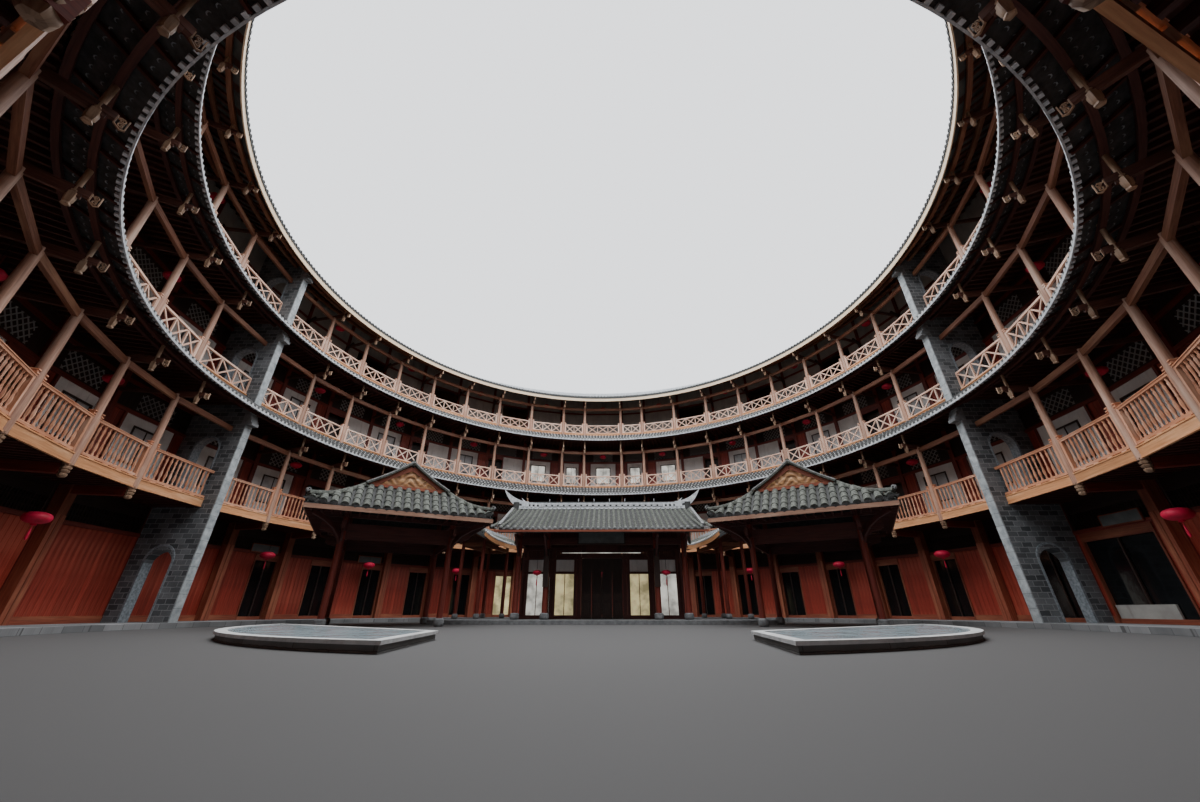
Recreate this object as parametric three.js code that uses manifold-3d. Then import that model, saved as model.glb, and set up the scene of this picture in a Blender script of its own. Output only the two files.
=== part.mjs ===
// A tulou roundhouse: a ring of four storeys round a courtyard, with a hall, two pavilions and two
// pools inside the ring. Sizes are the real building's, in millimetres; the whole is a 1:2 scale model.
//
// The origin is the centre of the ring at courtyard level. +Z is up, +Y points to the hall and +X
// is east. A bearing is an angle in degrees from +Y towards +X. Two stone fire walls, at east and
// west, cut the ring into a north and a south range.

import * as THREE from 'three';
import { mergeVertices } from 'three/addons/utils/BufferGeometryUtils.js';
import Module from 'manifold-3d';

const wasm = await Module();
wasm.setup();

// Driving dimensions
const MODEL_SCALE = 0.5;
const GAP = 0.8;                    // left between pieces that touch
const FACETS = 36;                  // sides of every ring
const FAR = 60000;                  // reach of a cutting block

const PLINTH_TOP = 150;             // walkway above the courtyard
const PLINTH_R = 13500;             // inner edge of the walkway
const GATE_PATH = { w: 5500, back: 15750 };   // the walkway leaves this free before the gate
const COLUMN_R = 14200;             // circle of gallery columns
const ROOM_WALL_R = 15900;          // courtyard face of the rooms
const ROOM_WALL_T = 150;
const OUTER_WALL_R = 19900;         // inner face of the outer wall
const OUTER_WALL_T = 1000;
const OUTER_BATTER = 250;           // the outer wall is this much thicker at its foot
const STONE_BASE_H = 1500;
const FLOOR_T = 200;
const STOREYS = 4;

const FLOOR_TOP = [PLINTH_TOP, 4100, 8100, 12000];         // top of each storey's floor
const FASCIA = [null, [3800, 4160], [7880, 8450], [11780, 12440]];
const RAIL_TOP = [null, 5100, 8990, 12840];
const BEAM_Z = [null, 6790, 10680, 14130];                  // middle of each ring beam
const BEAM = { w: 130, h: 220 };
const POST_W = 200;
const FLOOR_EDGE = 20;              // the floors reach this far inside the column circle
const FASCIA_T = 80;
const RAILING_T = 45;

const FIRE_WALL_T = 300;
const FIRE_WALL_END_R = 13680;
const FIRE_WALL_BACK_R = OUTER_WALL_R - 16;
const ARCH_W = 940;
const ARCH_H = 2330;
const ARCH_MIDDLE_R = 14840;

const EAVE_R = 13190;               // drip edge of the two skirt roofs and of the main roof
const SKIRT_UNDER_Z = [null, 7470, 11350];
const SKIRT_SLOPE = Math.tan(THREE.MathUtils.degToRad(23));
const SKIRT_T = 150;                // at the eave
const SKIRT_HIGH_T = 260;           // where it meets the floor's edge board
const MAIN_EAVE_Z = 14600;
const MAIN_SLOPE = Math.tan(THREE.MathUtils.degToRad(27));
const MAIN_T = 240;
const RIDGE_R = 18200;
const RIDGE = { half: 160, h: 180 };
const OUTER_EAVE_R = 22500;

const CENTRE_HALF_BAY = 5.4;        // bearings, in degrees
const NARROW_BAY = 6.4;
const WIDE_BAY = 9.55;
const WIDE_BAYS = 7;
const LAST_BAY = WIDE_BAYS + 2;     // the bay beside a fire wall, counted from the middle

// shift: degrees from the middle of the bay, away from the middle bay
const DOOR = { w: 950, h: 2100, sill: 0, shift: 2.7 };
const SHOP = { w: 1100, h: 2350, sill: 0, shift: -2.2 };
const WINDOW = { w: 720, h: 950, sill: 950, shift: 0.9 };
const LOFT_OPENING = { w: 1700, h: 1200, sill: 1100, shift: -1 };
const OUTER_WINDOW = { w: 600, h: 900, sill: 1300 };
const GATE = { w: 2200, h: 2700 };

// Colours, roughness and metalness of the finishes
const finishes = {
    stone: [0x6f767a, 0.9],
    darkStone: [0x4a5258, 0.92],
    earth: [0xb99a6b, 0.96],
    redTimber: [0x6b2a1c, 0.6],
    paleTimber: [0xb87a50, 0.6],
    floorTimber: [0x7a4a30, 0.65],
    tile: [0x4f544f, 0.85],
    ridge: [0xaab0b0, 0.85],
    plaster: [0xcfcac2, 0.85],
    darkTimber: [0x2a1a15, 0.6],
};

const tulou = new THREE.Group();
tulou.scale.setScalar(MODEL_SCALE);

function add(name, geometry, finish, parent = tulou) {
    const [color, roughness] = finishes[finish];
    geometry.computeVertexNormals();
    const material = new THREE.MeshStandardMaterial({ color, roughness, metalness: 0, flatShading: true });
    const mesh = new THREE.Mesh(geometry, material);
    mesh.name = name;
    parent.add(mesh);
    return mesh;
}

// Solids for joining and cutting

function solid(geometry) {
    const bare = geometry.index ? geometry : geometry.clone();
    bare.deleteAttribute('normal');
    bare.deleteAttribute('uv');
    const merged = mergeVertices(bare, 0.01);
    return new wasm.Manifold(new wasm.Mesh({
        numProp: 3,
        vertProperties: new Float32Array(merged.attributes.position.array),
        triVerts: new Uint32Array(merged.index.array),
    }));
}

function geometryOf(body) {
    const mesh = body.getMesh();
    const geometry = new THREE.BufferGeometry();
    geometry.setAttribute('position', new THREE.BufferAttribute(new Float32Array(mesh.vertProperties), 3));
    geometry.setIndex(new THREE.BufferAttribute(new Uint32Array(mesh.triVerts), 1));
    return geometry;
}

function join(bodies) {
    return bodies.reduce((whole, body) => whole.add(body));
}

function cut(body, cutters) {
    return cutters.length ? body.subtract(join(cutters)) : body;
}

// A box from its lowest to its highest corner.
function block(low, high) {
    const box = new THREE.BoxGeometry(high[0] - low[0], high[1] - low[1], high[2] - low[2]);
    box.translate((low[0] + high[0]) / 2, (low[1] + high[1]) / 2, (low[2] + high[2]) / 2);
    return box;
}

// A full ring: the profile is a closed outline of [radius, height] points, going anticlockwise.
function ring(profile) {
    const points = [...profile, profile[0]].map(([r, z]) => new THREE.Vector2(r, z));
    const lathe = new THREE.LatheGeometry(points, FACETS);
    lathe.rotateX(Math.PI / 2);
    return solid(lathe);
}

function ringBand(r0, r1, z0, z1) {
    return ring([[r0, z0], [r1, z0], [r1, z1], [r0, z1]]);
}

// The half north (+1) or south (-1) of the fire walls, or of a seam on their middle line.
function range(body, side, clear = FIRE_WALL_T / 2 + GAP) {
    const [low, high] = side > 0 ? [clear, FAR] : [-FAR, -clear];
    return body.intersect(solid(block([-FAR, low, -FAR], [FAR, high, FAR])));
}

// Turns a geometry that is drawn at the north of the ring to another bearing.
function toBearing(geometry, bearing) {
    geometry.rotateZ(-THREE.MathUtils.degToRad(bearing));
    return geometry;
}

// A block at a bearing, given by its width and its reach in radius and height.
function blockAt(bearing, w, r0, r1, z0, z1) {
    return solid(toBearing(block([-w / 2, r0, z0], [w / 2, r1, z1]), bearing));
}

// Bays and columns

function columnBearings(side) {
    const east = [CENTRE_HALF_BAY, CENTRE_HALF_BAY + NARROW_BAY];
    for (let k = 1; k <= WIDE_BAYS; k += 1) {
        east.push(CENTRE_HALF_BAY + NARROW_BAY + k * WIDE_BAY);
    }
    const north = [...east.map((b) => -b).reverse(), ...east];
    return side > 0 ? north : north.map((b) => 180 - b);
}

// The bays of a range, with the bearing of each one's middle and its count from the middle bay,
// which is negative to the west and positive to the east.
function bays(side) {
    const edges = side > 0 ? [-90, ...columnBearings(1), 90] : [270, ...columnBearings(-1), 90];
    const last = edges.length - 2;
    return edges.slice(1).map((b, i) => ({ middle: (b + edges[i]) / 2, count: i - last / 2 }));
}

// Masonry

function skirtUnder(storey, r) {
    return SKIRT_UNDER_Z[storey] + (r - EAVE_R) * SKIRT_SLOPE;
}

function mainUnder(r) {
    const ridge = MAIN_EAVE_Z + (RIDGE_R - EAVE_R) * MAIN_SLOPE;
    return r < RIDGE_R ? MAIN_EAVE_Z + (r - EAVE_R) * MAIN_SLOPE : ridge - (r - RIDGE_R) * MAIN_SLOPE;
}

// All that is above the under side of the main roof; it trims what stands below.
function spaceAboveRoof() {
    const under = [EAVE_R, RIDGE_R, OUTER_EAVE_R].map((r) => [r, mainUnder(r) - GAP]);
    return ring([...under, [OUTER_EAVE_R, FAR], [EAVE_R, FAR]]);
}

// The skirt roof over a storey, from the drip edge to the floor's edge board. Cleared, it is the roof
// with a gap round it, for trimming the columns that stand above and below.
function skirtRoof(storey, clear = 0) {
    const high = COLUMN_R - FLOOR_EDGE - GAP + clear;
    const [low, top] = [skirtUnder(storey, EAVE_R), skirtUnder(storey, high)];
    return ring([
        [EAVE_R, low - clear], [high, top - clear], [high, top + SKIRT_HIGH_T + clear], [EAVE_R, low + SKIRT_T + clear],
    ]);
}

function makePlinth() {
    const outer = OUTER_WALL_R + OUTER_WALL_T + OUTER_BATTER;
    const path = solid(block([-GATE_PATH.w / 2, -GATE_PATH.back, -FAR], [GATE_PATH.w / 2, 0, FAR]));
    const plinth = ringBand(PLINTH_R, outer, 0, PLINTH_TOP);
    add('ring_plinth', geometryOf(cut(plinth, [path])), 'stone');
}

function archOutline(middle, floor) {
    const shape = new THREE.Shape();
    const spring = floor + ARCH_H - ARCH_W / 2;
    shape.moveTo(middle - ARCH_W / 2, floor);
    shape.lineTo(middle + ARCH_W / 2, floor);
    shape.lineTo(middle + ARCH_W / 2, spring);
    shape.absarc(middle, spring, ARCH_W / 2, 0, Math.PI, false);
    return shape;
}

// An outline in radius and height, made as thick as asked, standing across the ring at east (+1) or west (-1).
function radialSlab(shape, thickness, side) {
    const slab = new THREE.ExtrudeGeometry(shape, { depth: thickness, bevelEnabled: false, curveSegments: 8 });
    slab.translate(0, 0, -thickness / 2);
    slab.rotateX(Math.PI / 2);
    if (side < 0) {
        slab.rotateZ(Math.PI);
    }
    return solid(slab);
}

function makeFireWall(name, side) {
    const end = FIRE_WALL_BACK_R;
    const top = mainUnder(RIDGE_R);
    const outline = new THREE.Shape([
        new THREE.Vector2(FIRE_WALL_END_R, PLINTH_TOP + GAP),
        new THREE.Vector2(end, PLINTH_TOP + GAP),
        new THREE.Vector2(end, top),
        new THREE.Vector2(FIRE_WALL_END_R, top),
    ]);
    const arches = FLOOR_TOP.map((floor, storey) => (
        radialSlab(archOutline(ARCH_MIDDLE_R, storey ? floor : 0), 2 * FIRE_WALL_T, side)
    ));
    const cutters = [...arches, spaceAboveRoof()];
    add(name, geometryOf(cut(radialSlab(outline, FIRE_WALL_T, side), cutters)), 'darkStone');
}

function outerWallProfile(z0, z1) {
    const full = mainUnder(OUTER_WALL_R + OUTER_WALL_T);
    const face = (z) => OUTER_WALL_R + OUTER_WALL_T + OUTER_BATTER * (1 - z / full);
    if (z1) {
        return [[OUTER_WALL_R, z0], [face(z0), z0], [face(z1), z1], [OUTER_WALL_R, z1]];
    }
    const top = OUTER_WALL_R + OUTER_WALL_T;
    return [[OUTER_WALL_R, z0], [face(z0), z0], [top, mainUnder(top) - GAP], [OUTER_WALL_R, mainUnder(OUTER_WALL_R) - GAP]];
}

function gateBlock(w, z0, z1) {
    return blockAt(180, w, PLINTH_R, FAR, z0, z1);
}

function makeOuterWall() {
    const foot = PLINTH_TOP + GAP;
    const head = STONE_BASE_H;
    const base = cut(ring(outerWallProfile(foot, head)), [gateBlock(GATE.w, -FAR, FAR)]);
    add('outer_wall_stone_base', geometryOf(base), 'stone');
    const wall = ring(outerWallProfile(head + GAP));
    const gate = gateBlock(GATE.w, -FAR, PLINTH_TOP + GATE.h);
    for (const [name, side] of [['outer_wall_north', 1], ['outer_wall_south', -1]]) {
        const holes = bays(side).filter((bay) => bay.count % 2 === 0).flatMap((bay) => (
            [1, 2, 3].map((storey) => {
                const sill = FLOOR_TOP[storey] + OUTER_WINDOW.sill;
                return blockAt(bay.middle, OUTER_WINDOW.w, ROOM_WALL_R, FAR, sill, sill + OUTER_WINDOW.h);
            })
        ));
        const half = range(side > 0 ? wall : cut(wall, [gate]), side, GAP / 2);
        add(name, geometryOf(cut(half, holes)), 'earth');
    }
}

// Timber ranges

function makeFloor(storey, side, name) {
    const top = FLOOR_TOP[storey];
    const edge = COLUMN_R - FLOOR_EDGE;
    const low = FASCIA[storey][0];
    const profile = [
        [edge, low], [edge + FASCIA_T, low], [edge + FASCIA_T, top - FLOOR_T], [OUTER_WALL_R - GAP, top - FLOOR_T],
        [OUTER_WALL_R - GAP, top], [edge, top],
    ];
    add(`floor_${storey + 1}_${name}`, geometryOf(range(ring(profile), side)), 'floorTimber');
}

// What opens in a bay of a storey's room wall: nothing, or the opening's size and place.
function roomOpening(storey, side, count) {
    const away = Math.abs(count);
    if (storey === 0) {
        if (away === 0) {
            return { ...(side < 0 ? GATE : SHOP), sill: 0, shift: 0 };
        }
        return away > 1 && away < LAST_BAY ? SHOP : null;
    }
    const isDoorBay = away > 1 && away < LAST_BAY && away % 2 === 1;
    if (storey === STOREYS - 1) {
        return isDoorBay ? LOFT_OPENING : null;
    }
    return isDoorBay ? DOOR : { ...WINDOW, shift: away > 1 ? WINDOW.shift : 0 };
}

function makeRoomWall(storey, side, name) {
    const z0 = FLOOR_TOP[storey] + GAP;
    const z1 = (storey < STOREYS - 1 ? FLOOR_TOP[storey + 1] - FLOOR_T : mainUnder(ROOM_WALL_R)) - GAP;
    const wall = range(ringBand(ROOM_WALL_R, ROOM_WALL_R + ROOM_WALL_T, z0, z1), side);
    const holes = [];
    for (const bay of bays(side)) {
        const opening = roomOpening(storey, side, bay.count);
        if (opening) {
            const bearing = bay.middle + opening.shift * Math.sign(bay.count) * side;
            const low = opening.sill ? z0 + opening.sill : -FAR;
            const top = z0 + opening.sill + opening.h;
            holes.push(blockAt(bearing, opening.w, ROOM_WALL_R - 2 * ROOM_WALL_T, ROOM_WALL_R + 3 * ROOM_WALL_T, low, top));
        }
    }
    add(`room_wall_${storey + 1}_${name}`, geometryOf(cut(wall, holes)), storey ? 'plaster' : 'redTimber');
}

// The railing stands on the floor's edge, in line with the columns.
function railingBand(storey, clear) {
    const edge = COLUMN_R - FLOOR_EDGE + GAP;
    return ringBand(edge - clear, edge + RAILING_T + clear, FLOOR_TOP[storey] + GAP - clear, RAIL_TOP[storey] + clear);
}

// Columns from this floor to the next, tied by a ring beam and notched round the railing.
function makeGallery(storey, side, name) {
    const beam = BEAM_Z[storey];
    const foot = FLOOR_TOP[storey] + GAP;
    const last = storey === STOREYS - 1;
    const head = last ? mainUnder(COLUMN_R) + POST_W : FASCIA[storey + 1][0] - GAP;
    const [w, h] = [BEAM.w / 2, BEAM.h / 2];
    const parts = [ringBand(COLUMN_R - w, COLUMN_R + w, beam - h, beam + h)];
    for (const bearing of columnBearings(side)) {
        parts.push(blockAt(bearing, POST_W, COLUMN_R - POST_W / 2, COLUMN_R + POST_W / 2, foot, head));
    }
    const roofs = [last ? spaceAboveRoof() : skirtRoof(storey, GAP)];
    if (storey > 1) {
        roofs.push(skirtRoof(storey - 1, GAP));
    }
    const frame = cut(range(join(parts), side), [...roofs, railingBand(storey, GAP)]);
    add(`gallery_${storey + 1}_${name}`, geometryOf(frame), 'paleTimber');
}

// A closed panel as high as the railing.
function makeRailing(storey, side, name) {
    add(`railing_${storey + 1}_${name}`, geometryOf(range(railingBand(storey, 0), side)), 'paleTimber');
}

// Ring roofs

function makeSkirtRoof(storey) {
    const notches = [1, -1].map((side) => (
        solid(block(
            [side > 0 ? FIRE_WALL_END_R - GAP : -FAR, -FIRE_WALL_T / 2 - GAP, 0],
            [side > 0 ? FAR : -FIRE_WALL_END_R + GAP, FIRE_WALL_T / 2 + GAP, FAR],
        ))
    ));
    add(`skirt_roof_${storey + 1}`, geometryOf(cut(skirtRoof(storey), notches)), 'tile');
}

function makeMainRoof() {
    const split = RIDGE_R - GAP / 2;
    add('main_roof_inner_slope', geometryOf(ring([
        [EAVE_R, mainUnder(EAVE_R)], [split, mainUnder(split)],
        [split, mainUnder(split) + MAIN_T], [EAVE_R, mainUnder(EAVE_R) + MAIN_T],
    ])), 'tile');
    const start = RIDGE_R + GAP / 2;
    add('main_roof_outer_slope', geometryOf(ring([
        [start, mainUnder(start)], [OUTER_EAVE_R, mainUnder(OUTER_EAVE_R)],
        [OUTER_EAVE_R, mainUnder(OUTER_EAVE_R) + MAIN_T], [start, mainUnder(start) + MAIN_T],
    ])), 'tile');
    const top = mainUnder(RIDGE_R) + MAIN_T + GAP;
    const { half, h } = RIDGE;
    add('main_roof_ridge', geometryOf(ring([
        [RIDGE_R - half, top - half * MAIN_SLOPE], [RIDGE_R, top], [RIDGE_R + half, top - half * MAIN_SLOPE],
        [RIDGE_R + half, top + h], [RIDGE_R - half, top + h],
    ])), 'ridge');
}

// The hall and its side roofs

const HALL_FLOOR = { half: 7000, front: 4000, back: 11400 };
const HALL = { front: 5600, screen: 7200, back: 8400, half: 3900, columnR: 130, wallT: 120 };
const HALL_COLUMNS = [-3800, -2500, 2500, 3800];
const HALL_BEAM = { low: 3250, top: 3560, t: 120 };
const HALL_ROOF = { ridgeY: 7000, reach: 2700, half: 4550, eaveZ: 3590, ridgeZ: 5200, t: 180 };
const HALL_RIDGE = { t: 200, h: 350 };
const LEAF = { w: 485, h: 2650, t: 50, clear: 12, pin: 15 };
const SIDE_PANE = { w: 900, low: 150, h: 1800, middles: [-3150, -1800, 1800, 3150] };
const WING = { front: 5700, back: 4850, y0: 6500, y1: 11400, w: 1900, z: 3690, slope: 0.5, t: 140 };
const WING_POST = { spread: 550, inset: 900, r: 90 };
const WING_BEAM = { t: 100, below: 260, h: 180 };    // below the eave

function hallUnder(y) {
    const low = HALL_ROOF.eaveZ;
    const rise = HALL_ROOF.ridgeZ - HALL_ROOF.t - low;
    return low + rise * (1 - Math.abs(y - HALL_ROOF.ridgeY) / HALL_ROOF.reach);
}

function column(x, y, foot, head, radius) {
    const shaft = new THREE.CylinderGeometry(radius, radius, head - foot, 8);
    shaft.rotateX(Math.PI / 2);
    shaft.translate(x, y, (foot + head) / 2);
    return solid(shaft);
}

function makeHallFrame(name, y) {
    const foot = PLINTH_TOP + GAP;
    const lowSide = y < HALL_ROOF.ridgeY ? y - HALL.columnR : y + HALL.columnR;
    const parts = HALL_COLUMNS.map((x) => column(x, y, foot, hallUnder(lowSide) - GAP, HALL.columnR));
    const half = HALL_BEAM.t / 2;
    parts.push(solid(block(
        [HALL_COLUMNS[0], y - half, HALL_BEAM.low],
        [HALL_COLUMNS[3], y + half, HALL_BEAM.top],
    )));
    add(name, geometryOf(join(parts)), 'redTimber');
}

// A screen wall below the ridge, with a four-leaf door, and a short gable wall behind each end.
function makeHallWalls(doorway, doorHead) {
    const foot = PLINTH_TOP + GAP;
    const t = HALL.wallT;
    const screenTop = hallUnder(HALL.screen + t / 2) - GAP;
    const front = HALL.screen - t / 2;
    const back = HALL.back - HALL.columnR - GAP;
    const screen = solid(block([-HALL.half, front, foot], [HALL.half, front + t, screenTop]));
    const cutters = [solid(block([-doorway / 2, 0, -FAR], [doorway / 2, FAR, doorHead]))];
    for (const x of SIDE_PANE.middles) {
        const low = foot + SIDE_PANE.low;
        cutters.push(solid(block([x - SIDE_PANE.w / 2, 0, low], [x + SIDE_PANE.w / 2, FAR, low + SIDE_PANE.h])));
    }
    const sides = [-HALL.half, HALL.half - t].map((x) => {
        const shape = new THREE.Shape([
            new THREE.Vector2(front, foot), new THREE.Vector2(back, foot),
            new THREE.Vector2(back, hallUnder(back) - GAP), new THREE.Vector2(front, hallUnder(front) - t),
        ]);
        const wall = new THREE.ExtrudeGeometry(shape, { depth: t, bevelEnabled: false });
        wall.rotateX(Math.PI / 2);
        wall.rotateZ(Math.PI / 2);
        wall.translate(x, 0, 0);
        return solid(wall);
    });
    add('hall_walls', geometryOf(join([cut(screen, cutters), ...sides])), 'redTimber');
}

// The two middle leaves turn on pins in a rounded stile; the outer two are fixed in the frame.
function makeLeaf(k, doorway, doorHead) {
    const x0 = -doorway / 2 + GAP + k * (LEAF.w + LEAF.clear);
    const x1 = x0 + LEAF.w;
    const y0 = HALL.screen - LEAF.t / 2;
    const y1 = y0 + LEAF.t;
    const name = `hall_door_leaf_${k + 1}`;
    if (k === 0 || k === 3) {
        add(name, block([x0, y0, PLINTH_TOP + GAP], [x1, y1, doorHead - GAP]), 'darkTimber');
        return;
    }
    const r = LEAF.t / 2;
    const axis = k === 1 ? x0 + r : x1 - r;
    const low = PLINTH_TOP + LEAF.clear;
    const high = doorHead - LEAF.clear;
    const panel = block([k === 1 ? axis : x0, y0, low], [k === 1 ? x1 : axis, y1, high]);
    const parts = [
        solid(panel),
        column(axis, HALL.screen, low, high, r),
        column(axis, HALL.screen, PLINTH_TOP + GAP, doorHead - GAP, LEAF.pin),
    ];
    add(name, geometryOf(join(parts)), 'darkTimber');
}

function makeHall() {
    const f = HALL_FLOOR;
    add('hall_floor', block([-f.half, f.front, 0], [f.half, f.back, PLINTH_TOP]), 'stone');
    makeHallFrame('hall_porch_frame', HALL.front);
    makeHallFrame('hall_rear_frame', HALL.back);
    const doorway = 4 * LEAF.w + 3 * LEAF.clear + 2 * GAP;
    const doorHead = PLINTH_TOP + LEAF.h + 2 * LEAF.clear;
    makeHallWalls(doorway, doorHead);
    for (let k = 0; k < 4; k += 1) {
        makeLeaf(k, doorway, doorHead);
    }
    const r = HALL_ROOF;
    const [y0, y1] = [r.ridgeY - r.reach, r.ridgeY + r.reach];
    const ridge = HALL_RIDGE.t / 2;
    const outline = [
        [y0, r.eaveZ], [r.ridgeY, r.ridgeZ - r.t], [y1, r.eaveZ], [y1, r.eaveZ + r.t],
        [r.ridgeY + ridge, hallUnder(r.ridgeY + ridge) + r.t], [r.ridgeY + ridge, r.ridgeZ + HALL_RIDGE.h],
        [r.ridgeY - ridge, r.ridgeZ + HALL_RIDGE.h], [r.ridgeY - ridge, hallUnder(r.ridgeY - ridge) + r.t],
        [y0, r.eaveZ + r.t],
    ];
    const shape = new THREE.Shape(outline.map(([y, z]) => new THREE.Vector2(y, z)));
    const roof = new THREE.ExtrudeGeometry(shape, { depth: 2 * r.half, bevelEnabled: false });
    roof.translate(0, 0, -r.half);
    roof.rotateX(Math.PI / 2);
    roof.rotateZ(Math.PI / 2);
    add('hall_roof', roof, 'tile');
}

// A side roof runs back from each end of the hall, on two pairs of posts.
function makeWing(name, side) {
    const half = WING.w / 2;
    const long = WING.y1 - WING.y0;
    const rise = half * WING.slope;
    const place = new THREE.Group();
    place.position.set(side * ((WING.front + WING.back) / 2 + half), (WING.y0 + WING.y1) / 2, 0);
    place.rotation.z = side * Math.atan((WING.front - WING.back) / long);
    tulou.add(place);
    const outline = [
        [-half, WING.z], [0, WING.z + rise], [half, WING.z],
        [half, WING.z + WING.t], [0, WING.z + rise + WING.t], [-half, WING.z + WING.t],
    ];
    const shape = new THREE.Shape(outline.map(([x, z]) => new THREE.Vector2(x, z)));
    const roof = new THREE.ExtrudeGeometry(shape, { depth: long, bevelEnabled: false });
    roof.translate(0, 0, -long / 2);
    roof.rotateX(Math.PI / 2);
    add(`hall_${name}_side_roof`, roof, 'tile', place);
    const { spread, inset, r } = WING_POST;
    const head = WING.z + rise - (spread + r) * WING.slope - GAP;
    const y = long / 2 - inset;
    const beamLow = WING.z - WING_BEAM.below;
    const beamTop = beamLow + WING_BEAM.h;
    const t = WING_BEAM.t / 2;
    const parts = [[-spread, -y], [spread, -y], [spread, y], [-spread, y]].map(([px, py]) => (
        column(px, py, PLINTH_TOP + GAP, head, r)
    ));
    for (const end of [-y, y]) {
        parts.push(solid(block([-spread, end - t, beamLow], [spread, end + t, beamTop])));
    }
    for (const x of [-spread, spread]) {
        parts.push(solid(block([x - t, -y, beamLow], [x + t, y, beamTop])));
    }
    add(`hall_${name}_side_frame`, geometryOf(join(parts)), 'redTimber', place);
}

// The pavilions: four columns under a hip-and-gable roof, turned to face the gate

const PAVILION = { x: 8100, y: 2300, turn: 28.6, column: 1800, radius: 100, baseR: 160, baseH: 240 };
const PAVILION_BEAM = { t: 120, low: 2960, top: 3220 };
const PAVILION_ROOF = {
    eave: 3000, gable: 1900, shoulder: 1350, eaveZ: 3600, shoulderZ: 4600, skirtZ: 4560, ridgeZ: 5500, t: 160,
    eaveH: 120, gableT: 60,
};

// The roof's outer form: a two-slope prism met by a hipped skirt below each gable. With a drop it is
// the space below the roof, and reaches to the ground.
function hipAndGable(gable, drop) {
    const r = PAVILION_ROOF;
    const foot = drop ? 0 : r.eaveZ - r.eaveH;
    const across = [
        [-r.eave, foot], [r.eave, foot], [r.eave, r.eaveZ], [r.shoulder, r.shoulderZ],
        [0, r.ridgeZ], [-r.shoulder, r.shoulderZ], [-r.eave, r.eaveZ],
    ];
    const along = [
        [-r.eave, foot], [r.eave, foot], [r.eave, r.eaveZ], [gable, r.skirtZ],
        [gable, FAR], [-gable, FAR], [-gable, r.skirtZ], [-r.eave, r.eaveZ],
    ];
    const [a, b] = [across, along].map((outline) => {
        const shape = new THREE.Shape(outline.map(([u, z]) => new THREE.Vector2(u, z - drop)));
        const prism = new THREE.ExtrudeGeometry(shape, { depth: 2 * r.eave, bevelEnabled: false });
        prism.translate(0, 0, -r.eave);
        prism.rotateX(Math.PI / 2);
        return prism;
    });
    b.rotateZ(Math.PI / 2);
    return solid(a).intersect(solid(b));
}

function makePavilion(name, side) {
    const place = new THREE.Group();
    place.position.set(side * PAVILION.x, PAVILION.y, 0);
    place.rotation.z = -side * THREE.MathUtils.degToRad(PAVILION.turn);
    tulou.add(place);
    const c = PAVILION.column;
    const r = PAVILION_ROOF;
    const slope = (r.shoulderZ - r.eaveZ) / (r.eave - r.shoulder);
    const head = r.shoulderZ - (c + PAVILION.radius - r.shoulder) * slope - r.t - GAP;
    const parts = [];
    for (const [x, y] of [[-c, -c], [c, -c], [c, c], [-c, c]]) {
        parts.push(column(x, y, 0, PAVILION.baseH, PAVILION.baseR));
        parts.push(column(x, y, 0, head, PAVILION.radius));
    }
    const { t, low, top } = PAVILION_BEAM;
    for (const u of [-c, c]) {
        parts.push(solid(block([-c, u - t / 2, low], [c, u + t / 2, top])));
        parts.push(solid(block([u - t / 2, -c, low], [u + t / 2, c, top])));
    }
    add(`pavilion_${name}_frame`, geometryOf(join(parts)), 'redTimber', place);
    const roof = hipAndGable(r.gable, 0).subtract(hipAndGable(r.gable - r.gableT, r.t));
    add(`pavilion_${name}_roof`, geometryOf(roof), 'tile', place);
}

// The pools: a low kerbed basin each side of the middle path, inside one circle round the courtyard

const POOL = { r: 9660, kerb: 320, height: 150, bed: 30, sideX: 2560, sideY: -9330, sideLean: 6.9,
    backX: 3000, backY: -5850, backTurn: 36.9 };

function poolBody(side, inset, z0, z1) {
    const disc = new THREE.CylinderGeometry(POOL.r - inset, POOL.r - inset, z1 - z0, 48);
    disc.rotateX(Math.PI / 2);
    disc.translate(0, 0, (z0 + z1) / 2);
    const beside = block([inset, -FAR, -FAR], [FAR, FAR, FAR]);
    beside.rotateZ(THREE.MathUtils.degToRad(-POOL.sideLean));
    beside.translate(POOL.sideX, POOL.sideY, 0);
    const below = block([-FAR, -FAR, -FAR], [FAR, -inset, FAR]);
    below.rotateZ(THREE.MathUtils.degToRad(POOL.backTurn));
    below.translate(POOL.backX, POOL.backY, 0);
    const east = solid(disc).intersect(solid(beside)).intersect(solid(below));
    return side > 0 ? east : east.mirror([1, 0, 0]);
}

function makePool(name, side) {
    const basin = poolBody(side, 0, 0, POOL.height).subtract(poolBody(side, POOL.kerb, POOL.bed, FAR));
    add(`pool_${name}`, geometryOf(basin), 'stone');
}

makeHall();
for (const [name, side] of [['east', 1], ['west', -1]]) {
    makeWing(name, side);
    makePavilion(name, side);
    makePool(name, side);
}
makePlinth();
makeFireWall('fire_wall_east', 1);
makeFireWall('fire_wall_west', -1);
makeOuterWall();
for (const [name, side] of [['north', 1], ['south', -1]]) {
    for (let storey = 0; storey < STOREYS; storey += 1) {
        makeRoomWall(storey, side, name);
        if (storey) {
            makeFloor(storey, side, name);
            makeGallery(storey, side, name);
            makeRailing(storey, side, name);
        }
    }
}
makeSkirtRoof(1);
makeSkirtRoof(2);
makeMainRoof();

export default tulou;
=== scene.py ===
# %% [markdown]
# # Dressing a tulou roundhouse
# A tulou is a ring of rooms round a courtyard, with galleries that look inwards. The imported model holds
# its plain solids at half the real size. This lesson puts the visible surfaces over them: boards,
# balusters, tiles, blocks, lattice and the carved pieces, each with a node material.

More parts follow.
